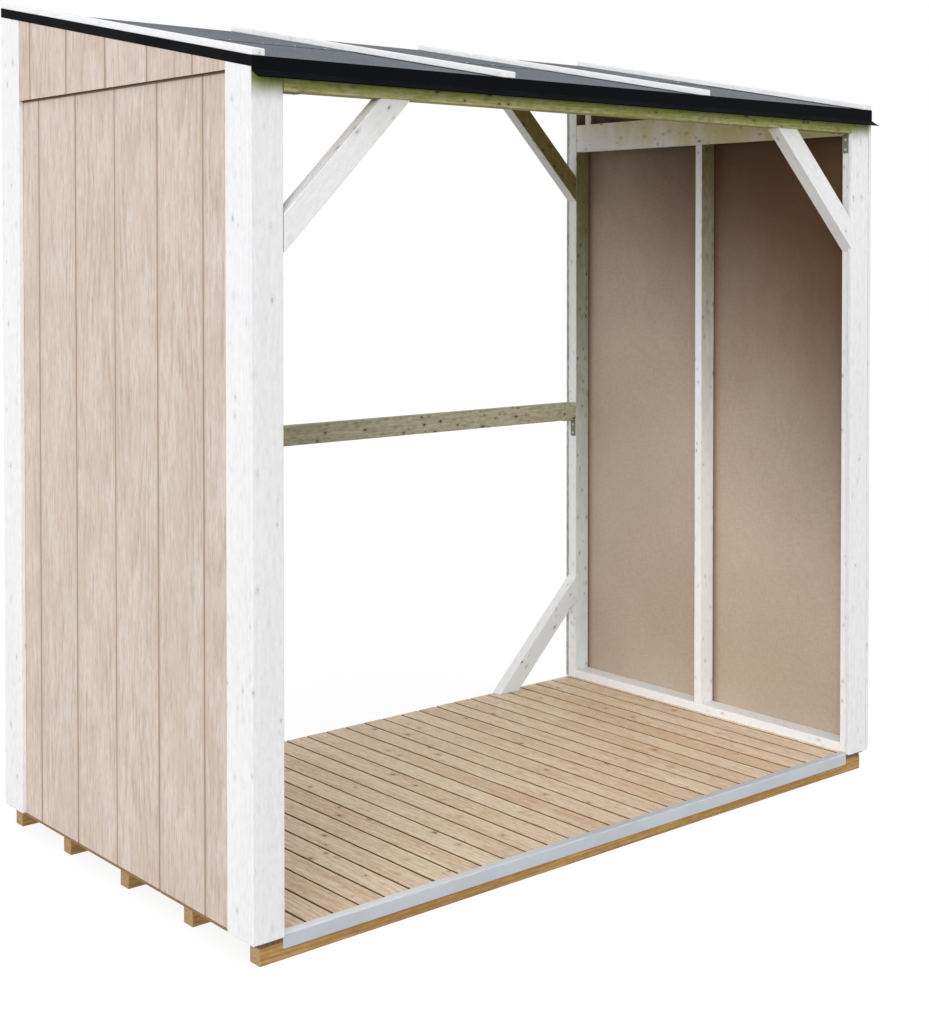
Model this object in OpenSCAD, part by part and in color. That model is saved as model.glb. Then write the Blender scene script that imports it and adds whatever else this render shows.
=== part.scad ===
// Open-fronted log store with a pent roof.
// X runs along the front, +Y to the back and +Z up, in millimetres.
// The origin is on the ground under the middle of the overall box.

/* [Overall] */
// Length over the corner boards
store_l = 2200; // [1800:50:3000]
// Depth over the corner boards
store_d = 1225; // [1150:25:1600]
// Ground to the underside of the roof at the front face
front_h = 1956; // [1900:10:2200]
// Ground to the underside of the roof at the back face
rear_h = 2190; // [2150:10:2450]

/* [Base] */
// Width of each ground bearer
bearer_w = 40; // [30:5:60]
// Height of each ground bearer
bearer_h = 39; // [30:1:60]
// Distance between the three middle bearers
bearer_pitch = 300; // [240:10:340]
// Thickness of the floor boards
floor_t = 16; // [12:1:25]
// Width of the metal sill angle's top flange
sill_w = 24; // [15:1:40]
// Height of the sill angle's front flange
sill_h = 32; // [20:1:45]

/* [Frame] */
// Thickness of the wall studs, plates and rafters
stud_t = 28; // [20:1:45]
// Width of the wall studs and plates
stud_w = 60; // [50:1:75]
// Thickness of the two rear posts
rear_post_t = 36; // [28:1:45]
// Front face of the corner boards to the front of the mid studs
mid_stud_y = 595; // [450:5:750]
// Front face of the corner boards to the front of the cripple studs
cripple_y = 1105; // [1000:5:1130]
// Ground to the underside of the wall top rails
rail_z = 1904; // [1850:2:1930]
// Height of the wall top rails
rail_h = 94; // [70:2:120]
// Thickness of the header, rear rails and braces
brace_t = 40; // [30:1:45]
// Width of the rear rails and braces
brace_w = 60; // [45:1:75]
// Ground to the underside of the front header
header_z = 1908; // [1860:2:1920]
// Ground to the underside of the rear middle rail
mid_rail_z = 966; // [700:10:1200]

/* [Braces] */
// Floor to the lowest point of the front braces on the posts
front_brace_h = 1502; // [1300:2:1600]
// Floor to the lowest point of the upper rear braces on the posts
upper_brace_h = 1676; // [1500:2:1750]
// Floor to the lowest point of the lower rear braces on the posts
lower_brace_h = 272; // [200:2:500]

/* [Cladding] */
// Thickness of the corner boards
board_t = 13; // [9:1:18]
// Width of the front corner boards
board_w = 82; // [70:1:83]
// Width of the corner boards on the side walls
side_board_w = 92; // [70:1:120]
// Thickness of the grooved wall panels
panel_t = 12; // [9:1:13]
// How far the wall panels hang below the floor's top
panel_drop = 8; // [0:1:14]
// Ground to the lower edge of the gable panels
gable_z = 1957; // [1930:1:1960]
// How far the gable panels lap over the wall panels
gable_lap = 25; // [10:1:40]

/* [Roof] */
// Depth of the rafters
rafter_h = 50; // [40:1:70]
// Thickness of the roof deck
deck_t = 20; // [12:1:25]
// Thickness of the roof felt
felt_t = 4; // [2:0.5:6]
// Thickness of the metal trims
trim_t = 2; // [1:0.5:3]
// Height of the upright face of the eave flashing
flash_h = 32; // [25:1:40]
// How far the flashing's drip lip stands out
lip_out = 27; // [10:1:40]
// How far the drip lip falls
lip_drop = 15; // [5:1:20]
// Width of the battens on the roof
batten_w = 36; // [25:1:50]
// Height of the battens on the roof
batten_h = 16; // [10:1:25]
// How far each inner batten stands from a third of the length
batten_shift = 6; // [0:1:30]

/* [Angle brackets] */
// Length of each leg of the angle brackets
bracket_leg = 58; // [40:1:70]
// Width of the angle brackets
bracket_w = 22; // [12:1:25]
// Thickness of the angle brackets
bracket_t = 2; // [1.5:0.5:3]
// Front faces of the rear posts to the front edges of their brackets
bracket_inset = 3; // [0:1:10]

/* [Hidden] */

floor_z = bearer_h + floor_t;
half_l = store_l / 2;
slope = (rear_h - front_h) / store_d;
// Distances from the outer face of an end wall
frame_in = board_t + panel_t;
clear_in = frame_in + stud_w;
// Distances from the front face of the corner boards
stud_y = board_t;
post_y = store_d - board_t - rear_post_t;
rail_y = stud_y + stud_t;
beam_z = roof_z(post_y) - brace_w;
roof_t = deck_t + felt_t;
plate_z = floor_z + stud_t;

white = [0.95, 0.95, 0.96];
siding = [0.86, 0.79, 0.73];
green_timber = [0.60, 0.58, 0.42];
pine = [0.85, 0.70, 0.52];
ochre = [0.69, 0.52, 0.30];
black = [0.09, 0.09, 0.10];
slate = [0.45, 0.48, 0.52];
zinc = [0.55, 0.57, 0.50];
steel = [0.82, 0.84, 0.87];

// Height of the roof's underside at a distance from the front face
function roof_z(y) = front_h + slope * y;

// Moves a shape measured from the front face to the part's own frame
module from_front() {
    translate([0, lip_out - (store_d + lip_out) / 2, 0]) children();
}

// Puts a shape made for the right end wall on either end
module on_side(side) {
    from_front() mirror([side == "left" ? 1 : 0, 0, 0]) children();
}

// A straight timber from one corner to the opposite one
module timber(low, high) {
    translate(low) cube(high - low);
}

// An outline in depth and height, carried along X
module along_x(outline, x_low, x_high) {
    translate([x_low, 0, 0])
        rotate([90, 0, 90])
            linear_extrude(x_high - x_low) polygon(outline);
}

// An outline in X and height, carried along Y
module along_y(outline, y_low, y_high) {
    translate([0, y_high, 0])
        rotate([90, 0, 0])
            linear_extrude(y_high - y_low) polygon(outline);
}

// A post or rail whose top is cut to the roof's slope
module under_roof(x_low, x_high, y_low, y_high, z_low) {
    along_x([
        [y_low, z_low],
        [y_high, z_low],
        [y_high, roof_z(y_high)],
        [y_low, roof_z(y_low)]
    ], x_low, x_high);
}

// A band that follows the roof between two heights above its underside
module roof_band(x_low, x_high, y_low, y_high, rise_low, rise_high) {
    along_x([
        [y_low, roof_z(y_low) + rise_low],
        [y_high, roof_z(y_high) + rise_low],
        [y_high, roof_z(y_high) + rise_high],
        [y_low, roof_z(y_low) + rise_high]
    ], x_low, x_high);
}

// ---- base ----

module bearers() {
    middle = (store_d - bearer_w) / 2;
    starts = [
        stud_y,
        middle - bearer_pitch,
        middle,
        middle + bearer_pitch,
        store_d - board_t - bearer_w
    ];
    color(ochre) from_front()
        for (y = starts)
            timber([frame_in - half_l, y, 0], [half_l - frame_in, y + bearer_w, bearer_h]);
}

module floor_deck() {
    color(pine) from_front()
        timber(
            [frame_in - half_l, stud_y, bearer_h],
            [half_l - frame_in, store_d - board_t, floor_z]
        );
}

module sill_angle() {
    x_high = half_l - board_t - board_w;
    y_low = stud_y - trim_t;
    top = floor_z + trim_t;
    color(steel) from_front()
        along_x([
            [y_low, top - sill_h],
            [stud_y, top - sill_h],
            [stud_y, floor_z],
            [y_low + sill_w, floor_z],
            [y_low + sill_w, top],
            [y_low, top]
        ], clear_in - half_l, x_high);
}

// ---- end walls ----

module bottom_plate(side) {
    color(white) on_side(side)
        timber([half_l - clear_in, rail_y, floor_z], [half_l - frame_in, post_y, plate_z]);
}

module front_stud(side) {
    color(white) on_side(side)
        under_roof(half_l - clear_in, half_l - frame_in, stud_y, rail_y, floor_z);
}

module mid_stud(side) {
    color(white) on_side(side)
        timber(
            [half_l - clear_in, mid_stud_y, plate_z],
            [half_l - frame_in, mid_stud_y + stud_t, rail_z]
        );
}

module rear_post(side) {
    color(white) on_side(side)
        under_roof(half_l - clear_in, half_l - frame_in, post_y, store_d - board_t, floor_z);
}

module top_rail(side) {
    x_in = half_l - clear_in;
    color(white) on_side(side) intersection() {
        timber([x_in, rail_y, rail_z], [x_in + stud_t, post_y, rail_z + rail_h]);
        under_roof(x_in, x_in + stud_t, rail_y, post_y, rail_z);
    }
}

module cripple_stud(side) {
    x_in = half_l - clear_in;
    color(white) on_side(side)
        under_roof(x_in, x_in + stud_t, cripple_y, cripple_y + stud_t, rail_z + rail_h);
}

module wall_panel(side) {
    x_low = half_l - frame_in;
    x_high = half_l - board_t;
    z_low = floor_z - panel_drop;
    y_high = store_d - board_t;
    color(siding) on_side(side) intersection() {
        timber([x_low, stud_y, z_low], [x_high, y_high, gable_z + gable_lap]);
        under_roof(x_low, x_high, stud_y, y_high, z_low);
    }
}

module gable_panel(side) {
    y_low = side == "left" ? board_t + side_board_w : side_board_w;
    color(siding) on_side(side)
        under_roof(
            half_l - board_t, half_l - 1,
            y_low, store_d - board_t - side_board_w,
            gable_z
        );
}

// ---- corner boards ----

module front_board(side) {
    x_out = side == "left" ? half_l : half_l - board_t;
    color(white) on_side(side)
        under_roof(x_out - board_w, x_out, 0, board_t, floor_z);
}

module front_side_board(side) {
    y_low = side == "left" ? board_t : 0;
    color(white) on_side(side)
        under_roof(half_l - board_t, half_l, y_low, y_low + side_board_w, floor_z);
}

module rear_board(side) {
    color(white) on_side(side)
        under_roof(half_l - clear_in, half_l, store_d - board_t, store_d, floor_z);
}

module rear_side_board(side) {
    y_high = store_d - board_t;
    color(white) on_side(side)
        under_roof(half_l - board_t, half_l, y_high - side_board_w, y_high, floor_z);
}

// ---- front and rear frames ----

// A brace at 45 degrees from a post up to a beam, for the right side
module brace_up(foot_z, head_z, y_low, y_high) {
    x_post = half_l - clear_in;
    run = brace_w * sqrt(2);
    along_y([
        [x_post, foot_z],
        [x_post, foot_z + run],
        [x_post - (head_z - foot_z) + run, head_z],
        [x_post - (head_z - foot_z), head_z]
    ], y_low, y_high);
}

// A brace at 45 degrees from a post down to the floor, for the right side
module brace_down(foot_z, y_low, y_high) {
    x_post = half_l - clear_in;
    run = brace_w * sqrt(2);
    rise = foot_z - floor_z;
    along_y([
        [x_post, foot_z],
        [x_post - rise, floor_z],
        [x_post - rise - run, floor_z],
        [x_post, foot_z + run]
    ], y_low, y_high);
}

// The space that the front corner board takes on one side
module front_board_space(side) {
    x_out = side == "left" ? half_l : half_l - board_t;
    timber([x_out - board_w, -1, floor_z], [half_l, board_t, rear_h]);
}

module front_header() {
    color(green_timber) difference() {
        from_front() under_roof(clear_in - half_l, half_l - clear_in, 0, brace_t, header_z);
        on_side("left") front_board_space("left");
        on_side("right") front_board_space("right");
    }
}

module front_brace(side) {
    color(white) on_side(side) difference() {
        brace_up(floor_z + front_brace_h, header_z, 0, brace_t);
        front_board_space(side);
    }
}

module rear_beam() {
    color(green_timber) from_front() intersection() {
        timber(
            [clear_in - half_l, post_y, beam_z],
            [half_l - clear_in, post_y + brace_t, beam_z + brace_w]
        );
        under_roof(clear_in - half_l, half_l - clear_in, post_y, post_y + brace_t, beam_z);
    }
}

module rear_mid_rail() {
    color(green_timber) from_front()
        timber(
            [clear_in - half_l, post_y, mid_rail_z],
            [half_l - clear_in, post_y + brace_t, mid_rail_z + brace_w]
        );
}

module rear_upper_brace(side) {
    color(green_timber) on_side(side)
        brace_up(floor_z + upper_brace_h, beam_z, post_y, post_y + brace_t);
}

module rear_lower_brace(side) {
    color(white) on_side(side)
        brace_down(floor_z + lower_brace_h, post_y, post_y + brace_t);
}

// ---- roof ----

module rafters() {
    inner_x = store_l / 6 - stud_t / 2;
    color(green_timber) from_front()
        for (x = [frame_in - half_l, -inner_x - stud_t, inner_x, half_l - frame_in - stud_t])
            roof_band(x, x + stud_t, rail_y, post_y, -rafter_h, 0);
}

module roof_deck() {
    color(pine) from_front()
        roof_band(trim_t - half_l, half_l - trim_t, 0, store_d - trim_t, 0, deck_t);
}

module roof_felt() {
    color(slate) from_front()
        roof_band(trim_t - half_l, half_l - trim_t, 0, store_d - trim_t, deck_t, roof_t);
}

module verge_trims() {
    color(black) from_front()
        for (x = [-half_l, half_l - trim_t])
            roof_band(x, x + trim_t, 0, store_d, 0, roof_t);
}

module eave_flashing() {
    top = front_h + roof_t;
    foot = top - flash_h;
    color(black) from_front()
        along_x([
            [0, top],
            [-trim_t, top],
            [-trim_t, foot],
            [-lip_out, foot - lip_drop + trim_t],
            [-lip_out, foot - lip_drop],
            [0, foot - trim_t]
        ], -half_l, half_l);
}

module rear_trim() {
    color(black) from_front()
        roof_band(trim_t - half_l, half_l - trim_t, store_d - trim_t, store_d, 0, roof_t);
}

module roof_battens() {
    third = (store_l - batten_w) / 3;
    starts = [
        -half_l,
        third - half_l + batten_shift,
        half_l - batten_w - third - batten_shift / 2,
        half_l - batten_w
    ];
    color(white) from_front()
        for (x = starts)
            roof_band(x, x + batten_w, 0, store_d, roof_t, roof_t + batten_h);
}

// ---- fixings ----

// One leg on the post's inner face and one under the beam, for the right side
module bracket(beam_bottom, y_low) {
    x_post = half_l - clear_in;
    along_y([
        [x_post, beam_bottom],
        [x_post - bracket_leg, beam_bottom],
        [x_post - bracket_leg, beam_bottom - bracket_t],
        [x_post - bracket_t, beam_bottom - bracket_t],
        [x_post - bracket_t, beam_bottom - bracket_leg],
        [x_post, beam_bottom - bracket_leg]
    ], y_low, y_low + bracket_w);
}

module angle_brackets() {
    color(zinc)
        for (side = ["left", "right"]) on_side(side) {
            bracket(header_z, rail_y - bracket_w);
            bracket(mid_rail_z, post_y + bracket_inset);
        }
}

bearers();
floor_deck();
sill_angle();
bottom_plate("left");  // left_bottom_plate
bottom_plate("right");  // right_bottom_plate
front_stud("left");  // left_front_stud
front_stud("right");  // right_front_stud
mid_stud("left");  // left_mid_stud
mid_stud("right");  // right_mid_stud
rear_post("left");  // left_rear_post
rear_post("right");  // right_rear_post
top_rail("left");  // left_top_rail
top_rail("right");  // right_top_rail
cripple_stud("left");  // left_cripple_stud
cripple_stud("right");  // right_cripple_stud
wall_panel("left");  // left_wall_panel
wall_panel("right");  // right_wall_panel
gable_panel("left");  // left_gable_panel
gable_panel("right");  // right_gable_panel
front_board("left");  // front_left_board
front_board("right");  // front_right_board
front_side_board("left");  // left_front_side_board
front_side_board("right");  // right_front_side_board
rear_board("left");  // rear_left_board
rear_board("right");  // rear_right_board
rear_side_board("left");  // left_rear_side_board
rear_side_board("right");  // right_rear_side_board
front_header();
front_brace("left");  // front_left_brace
front_brace("right");  // front_right_brace
rear_beam();
rear_mid_rail();
rear_upper_brace("left");  // rear_upper_left_brace
rear_upper_brace("right");  // rear_upper_right_brace
rear_lower_brace("left");  // rear_lower_left_brace
rear_lower_brace("right");  // rear_lower_right_brace
rafters();
roof_deck();
roof_felt();
verge_trims();
eave_flashing();
rear_trim();
roof_battens();
angle_brackets();
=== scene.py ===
"""Looks of an open-fronted log store with grooved end walls, a boarded floor and a felted pent roof.

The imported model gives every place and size. Each sub-assembly is a class that planes, folds or
cuts its pieces from the CAD nodes, dresses them with a finish and hangs them on the frame.
"""

import logging
import math
import random
from dataclasses import dataclass, field, replace
from enum import Enum
from typing import ClassVar, Iterable, Sequence

import bmesh
import bpy
from bmesh.types import BMesh, BMFace, BMVert
from bpy.types import Material, Node, NodeSocket, Object, ShaderNodeTree
from mathutils import Matrix, Vector


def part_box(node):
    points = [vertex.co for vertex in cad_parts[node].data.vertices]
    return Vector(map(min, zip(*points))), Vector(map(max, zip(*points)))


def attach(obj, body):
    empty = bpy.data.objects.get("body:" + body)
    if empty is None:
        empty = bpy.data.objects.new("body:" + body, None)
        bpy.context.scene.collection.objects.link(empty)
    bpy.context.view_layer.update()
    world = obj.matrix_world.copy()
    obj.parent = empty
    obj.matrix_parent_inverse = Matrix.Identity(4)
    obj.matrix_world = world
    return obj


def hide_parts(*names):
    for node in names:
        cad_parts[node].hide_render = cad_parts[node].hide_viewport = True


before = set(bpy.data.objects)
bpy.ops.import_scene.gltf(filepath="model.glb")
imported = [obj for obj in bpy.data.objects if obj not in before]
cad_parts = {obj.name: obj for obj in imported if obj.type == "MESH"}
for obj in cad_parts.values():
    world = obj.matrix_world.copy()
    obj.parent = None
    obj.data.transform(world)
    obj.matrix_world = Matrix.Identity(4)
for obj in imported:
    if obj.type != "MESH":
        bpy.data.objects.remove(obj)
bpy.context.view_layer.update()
LOG = logging.getLogger("log_store")

BODY = "root"
# Corners closer than this are one corner, in metres
MERGE = 1e-5
# Faces that meet at a smaller angle than this are one flat face
FLAT = math.radians(1.0)
# Edges that turn by more than this are rounded
SHARP = math.radians(20.0)
# Edges of folded sheet that turn by more than this show as creases
CREASE = math.radians(35.0)
# A face looks along an axis when its normal has more than this along it
FACING = 0.9
# How many faces make each fold or rounded corner of a sheet
BEND_STEPS = 4
# A screw head's sides, and the radius of its top as a share of its foot's
HEAD_SIDES = 12
HEAD_TAPER = 0.62
# The length of log that each board's own stretch of grain is taken from, in metres
LOG_LENGTH = 40.0
# How far the roof rises for each metre back, which the painted shade and the grain of its timbers follow
ROOF_LEAN = 0.19
# Where the Mix node keeps its two colours, and where it gives the mixed one
MIX_LOW, MIX_HIGH, MIX_RESULT = 6, 7, 2

Colour = tuple[float, float, float, float]
# How tight a pattern is on each axis
Scale = tuple[float, float, float]


def paint(red: int, green: int, blue: int) -> Colour:
    """Turns a display colour into a linear one.

    Args:
        red: Display red from 0 to 255.
        green: Display green from 0 to 255.
        blue: Display blue from 0 to 255.

    Returns:
        The linear colour with full alpha.
    """
    def linear(level: int) -> float:
        """Turns one display level into a linear one."""
        share = level / 255.0
        return share / 12.92 if share <= 0.04045 else ((share + 0.055) / 1.055) ** 2.4

    return linear(red), linear(green), linear(blue), 1.0


class Side(Enum):
    """The two end walls, with the direction in X that each faces."""

    LEFT = -1.0
    RIGHT = 1.0

    @property
    def label(self) -> str:
        """The side's name as the CAD nodes spell it."""
        return self.name.lower()


class Run(Enum):
    """The direction in which a timber's grain runs."""

    ALONG_X = (1.0, 0.0, 0.0)
    ALONG_Y = (0.0, 1.0, 0.0)
    UPRIGHT = (0.0, 0.0, 1.0)
    RISING_RIGHT = (1.0, 0.0, 1.0)
    RISING_LEFT = (-1.0, 0.0, 1.0)
    UP_THE_ROOF = (0.0, 1.0, ROOF_LEAN)

    @property
    def axis(self) -> Vector:
        """The direction as a unit vector."""
        return Vector(self.value).normalized()


class Slot(Enum):
    """The record's material slots."""

    WHITE_TIMBER = "white_timber"
    SIDING = "grooved_siding"
    # Its timbers are white, and their olive colour is painted shade tinted green by bounce light
    WEATHERED = "weathered_timber"
    FLOOR = "floor_pine"
    BEARERS = "bearer_timber"
    ROOF_BOARDS = "roof_boards"
    FELT = "roof_felt"
    BLACK_TRIM = "black_trim"
    SILL = "sill_metal"
    BRACKETS = "bracket_steel"


# ---- node trees ----


class Board:
    """A node tree that is wired with plain calls."""

    def __init__(self, tree: ShaderNodeTree) -> None:
        """Takes the tree that the calls write into."""
        self.tree = tree

    def node(self, kind: str, **settings: object) -> Node:
        """Adds a node of a kind and sets its properties.

        Args:
            kind: The node's type.
            **settings: Its properties by name.

        Returns:
            The new node.
        """
        made = self.tree.nodes.new(kind)
        for name, value in settings.items():
            setattr(made, name, value)
        return made

    def feed(self, socket: NodeSocket, value: object) -> None:
        """Links a socket to another one, or sets it to a plain value.

        Args:
            socket: The input to fill.
            value: The socket to link, or the value to set.
        """
        if isinstance(value, NodeSocket):
            self.tree.links.new(value, socket)
        else:
            socket.default_value = value

    def math(self, operation: str, first: object, second: object = 0.0, clamp: bool = False) -> NodeSocket:
        """Adds a Math node on two values.

        Args:
            operation: The node's operation.
            first: The first value or socket.
            second: The second value or socket.
            clamp: Whether the result is held between 0 and 1.

        Returns:
            The result.
        """
        made = self.node("ShaderNodeMath", operation=operation, use_clamp=clamp)
        self.feed(made.inputs[0], first)
        self.feed(made.inputs[1], second)
        return made.outputs[0]

    def blend(self, share: object, low: object, high: object, mode: str = "MIX") -> NodeSocket:
        """Mixes two colours.

        Args:
            share: How much of the second colour shows.
            low: The colour at a share of 0.
            high: The colour at a share of 1.
            mode: The way in which they are mixed.

        Returns:
            The mixed colour.
        """
        made = self.node("ShaderNodeMix", data_type="RGBA", blend_type=mode)
        self.feed(made.inputs[0], share)
        self.feed(made.inputs[MIX_LOW], low)
        self.feed(made.inputs[MIX_HIGH], high)
        return made.outputs[MIX_RESULT]

    def ramp(
        self, value: object, low: object, high: object, start: object = 0.0, end: object = 1.0
    ) -> NodeSocket:
        """Carries a value smoothly from one range to another, and holds it at the ends.

        Args:
            value: The value to carry.
            low: Where the first range starts.
            high: Where the first range ends.
            start: What the low end becomes.
            end: What the high end becomes.

        Returns:
            The value in the second range.
        """
        made = self.node("ShaderNodeMapRange", interpolation_type="SMOOTHSTEP")
        for socket, given in zip(made.inputs, (value, low, high, start, end)):
            self.feed(socket, given)
        return made.outputs[0]

    def stretch(self, place: NodeSocket, scale: Scale) -> NodeSocket:
        """Scales a place by its own amount on each axis.

        Args:
            place: The place to scale.
            scale: The three amounts.

        Returns:
            The scaled place.
        """
        made = self.node("ShaderNodeMapping", vector_type="POINT")
        self.feed(made.inputs["Vector"], place)
        made.inputs["Scale"].default_value = scale
        return made.outputs[0]

    def noise(
        self, place: NodeSocket, scale: float, detail: float = 2.0, rough: float = 0.5
    ) -> NodeSocket:
        """Adds a soft noise.

        Args:
            place: Where the noise is read.
            scale: How many waves it has to a unit.
            detail: How many finer layers it has.
            rough: How strong the finer layers are.

        Returns:
            The noise from 0 to 1.
        """
        made = self.node("ShaderNodeTexNoise")
        self.feed(made.inputs["Vector"], place)
        made.inputs["Scale"].default_value = scale
        made.inputs["Detail"].default_value = detail
        made.inputs["Roughness"].default_value = rough
        return made.outputs[0]

    def attribute(self, name: str, vector: bool = False) -> NodeSocket:
        """Returns a mesh attribute as a vector or as a number."""
        made = self.node("ShaderNodeAttribute", attribute_name=name)
        return made.outputs["Vector" if vector else "Fac"]

    def place(self) -> NodeSocket:
        """Returns the place in the shared frame, in metres."""
        return self.node("ShaderNodeTexCoord").outputs["Object"]

    def bump(self, height: NodeSocket, depth: float, strength: float = 1.0) -> NodeSocket:
        """Raises a surface by a height.

        Args:
            height: The height from 0 to 1.
            depth: What a height of 1 stands for, in metres.
            strength: How much of the bump shows.

        Returns:
            The raised surface's normal.
        """
        made = self.node("ShaderNodeBump")
        made.inputs["Strength"].default_value = strength
        made.inputs["Distance"].default_value = depth
        self.feed(made.inputs["Height"], height)
        return made.outputs[0]

    def effect(self, effect: "Effect", **values: object) -> Node:
        """Adds a group node for an effect, with its own values.

        Args:
            effect: The effect whose group is placed.
            **values: Values or sockets by input name, with _ for a space.

        Returns:
            The group node, whose outputs carry the effect's names.
        """
        made = self.node("ShaderNodeGroup")
        made.node_tree = effect.group()
        for name, value in values.items():
            self.feed(made.inputs[name.replace("_", " ")], value)
        return made


@dataclass(frozen=True)
class Effect:
    """A shader node group that several finishes share."""

    title: ClassVar[str] = ""
    takes: ClassVar[dict[str, object]] = {}
    gives: ClassVar[tuple[str, ...]] = ()

    def group(self) -> ShaderNodeTree:
        """Builds the effect's node group the first time that it is asked for.

        Returns:
            The node group.
        """
        found = bpy.data.node_groups.get(self.title)
        if found is not None:
            return found
        tree = bpy.data.node_groups.new(self.title, "ShaderNodeTree")
        for name, value in self.takes.items():
            kind = "NodeSocketVector" if value is None else "NodeSocketFloat"
            socket = tree.interface.new_socket(name, in_out="INPUT", socket_type=kind)
            if value is not None:
                socket.default_value = value
        for name in self.gives:
            tree.interface.new_socket(name, in_out="OUTPUT", socket_type="NodeSocketFloat")
        board = Board(tree)
        entry = board.node("NodeGroupInput").outputs
        leave = board.node("NodeGroupOutput").inputs
        for name, value in self.wire(board, entry).items():
            board.feed(leave[name], value)
        return tree

    def wire(self, board: Board, entry: object) -> dict[str, NodeSocket]:
        """Builds the group's nodes.

        Args:
            board: The board of the group's tree.
            entry: The group's inputs by name.

        Returns:
            What each output takes.
        """
        raise NotImplementedError


@dataclass(frozen=True)
class TimberGrain(Effect):
    """Growth rings round a pith that lies along the grain, with fibres and a slow change of tone."""

    title = "Timber grain"
    takes = {"Place": None, "Ring width": 0.005, "Wander": 0.012, "Taper": 0.02}
    gives = ("Rings", "Fibres", "Tone", "Mottle")
    # Waves to a metre along the grain, and on the two axes across it
    drift_scale: ClassVar[Scale] = (1.3, 9.0, 9.0)
    fibre_scale: ClassVar[Scale] = (8.0, 230.0, 230.0)
    tone_scale: ClassVar[Scale] = (0.9, 7.0, 7.0)
    mottle_scale: ClassVar[Scale] = (38.0, 120.0, 120.0)
    # How far the log tapers one way before it tapers back, in metres
    taper_length: ClassVar[float] = 1.4

    def wire(self, board: Board, entry: object) -> dict[str, NodeSocket]:
        """Builds rings as distances from a wandering pith line.

        Args:
            board: The board of the group's tree.
            entry: The group's inputs by name.

        Returns:
            What each output takes.
        """
        place = entry["Place"]
        apart = board.node("ShaderNodeSeparateXYZ")
        board.feed(apart.inputs[0], place)
        slow = board.stretch(place, self.drift_scale)
        drift = board.node("ShaderNodeTexNoise")
        board.feed(drift.inputs["Vector"], slow)
        drift.inputs["Scale"].default_value = 1.0
        drift.inputs["Detail"].default_value = 2.0
        shifts = board.node("ShaderNodeSeparateColor")
        board.feed(shifts.inputs[0], drift.outputs["Color"])
        along = board.math("PINGPONG", apart.outputs[0], self.taper_length)
        lean = board.math("MULTIPLY", along, entry["Taper"])
        sides = []
        for axis in (1, 2):
            swing = board.math("SUBTRACT", shifts.outputs[axis], 0.5)
            push = board.math("MULTIPLY", swing, entry["Wander"])
            moved = board.math("ADD", apart.outputs[axis], push)
            if axis == 2:
                moved = board.math("ADD", moved, lean)
            sides.append(board.math("POWER", board.math("ABSOLUTE", moved), 2.0))
        radius = board.math("SQRT", board.math("ADD", sides[0], sides[1]))
        turn = board.math("FRACT", board.math("DIVIDE", radius, entry["Ring width"]))
        # Each ring darkens slowly outwards and ends sharply, as late wood does
        late = board.math("MULTIPLY", board.ramp(turn, 0.25, 0.85), board.ramp(turn, 1.0, 0.88))
        fibres = board.noise(board.stretch(place, self.fibre_scale), 1.0, 3.0, 0.65)
        tone = board.noise(board.stretch(place, self.tone_scale), 1.0, 2.0, 0.5)
        mottle = board.noise(board.stretch(place, self.mottle_scale), 1.0, 4.0, 0.65)
        return {
            "Rings": late,
            "Fibres": board.ramp(fibres, 0.3, 0.7),
            "Tone": board.ramp(tone, 0.3, 0.7),
            "Mottle": board.ramp(mottle, 0.38, 0.66),
        }


@dataclass(frozen=True)
class Knots(Effect):
    """Scattered oval knots, each with a dark core and a softer halo."""

    title = "Knots"
    takes = {"Place": None, "Spacing": 0.06, "Radius": 0.004, "Share": 0.5, "Length": 1.6}
    gives = ("Core", "Halo")
    # How far noise pushes a knot's outline, in spacings
    raggedness: ClassVar[float] = 0.07
    # The smallest and the largest knot as shares of the radius
    sizes: ClassVar[tuple[float, float]] = (0.7, 1.3)
    # How many radii out the core and the halo end, and where each is full
    core_reach: ClassVar[tuple[float, float]] = (1.25, 0.7)
    halo_reach: ClassVar[tuple[float, float]] = (2.8, 1.0)

    def wire(self, board: Board, entry: object) -> dict[str, NodeSocket]:
        """Builds knots as the middles of cells, some of which are left empty.

        Args:
            board: The board of the group's tree.
            entry: The group's inputs by name.

        Returns:
            What each output takes.
        """
        shrink = board.node("ShaderNodeCombineXYZ")
        board.feed(shrink.inputs[0], board.math("DIVIDE", 1.0, entry["Length"]))
        shrink.inputs[1].default_value = 1.0
        shrink.inputs[2].default_value = 1.0
        squeezed = board.node("ShaderNodeVectorMath", operation="MULTIPLY")
        board.feed(squeezed.inputs[0], entry["Place"])
        board.feed(squeezed.inputs[1], shrink.outputs[0])
        scaled = board.node("ShaderNodeVectorMath", operation="SCALE")
        board.feed(scaled.inputs[0], squeezed.outputs[0])
        board.feed(scaled.inputs["Scale"], board.math("DIVIDE", 1.0, entry["Spacing"]))
        cells = board.node("ShaderNodeTexVoronoi", voronoi_dimensions="3D", feature="F1")
        board.feed(cells.inputs["Vector"], scaled.outputs[0])
        cells.inputs["Scale"].default_value = 1.0
        chance = board.node("ShaderNodeSeparateColor")
        board.feed(chance.inputs[0], cells.outputs["Color"])
        kept = board.math("LESS_THAN", chance.outputs[0], entry["Share"])
        ragged = board.noise(scaled.outputs[0], 9.0, 2.0)
        push = board.math("MULTIPLY", ragged, self.raggedness)
        distance = board.math("ADD", cells.outputs["Distance"], push)
        edge = board.math("DIVIDE", entry["Radius"], entry["Spacing"])
        size = board.math("MULTIPLY", edge, board.ramp(chance.outputs[1], 0.0, 1.0, *self.sizes))
        core = board.ramp(board.math("DIVIDE", distance, size), *self.core_reach)
        halo = board.ramp(board.math("DIVIDE", distance, size), *self.halo_reach)
        return {"Core": board.math("MULTIPLY", core, kept), "Halo": board.math("MULTIPLY", halo, kept)}


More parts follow.
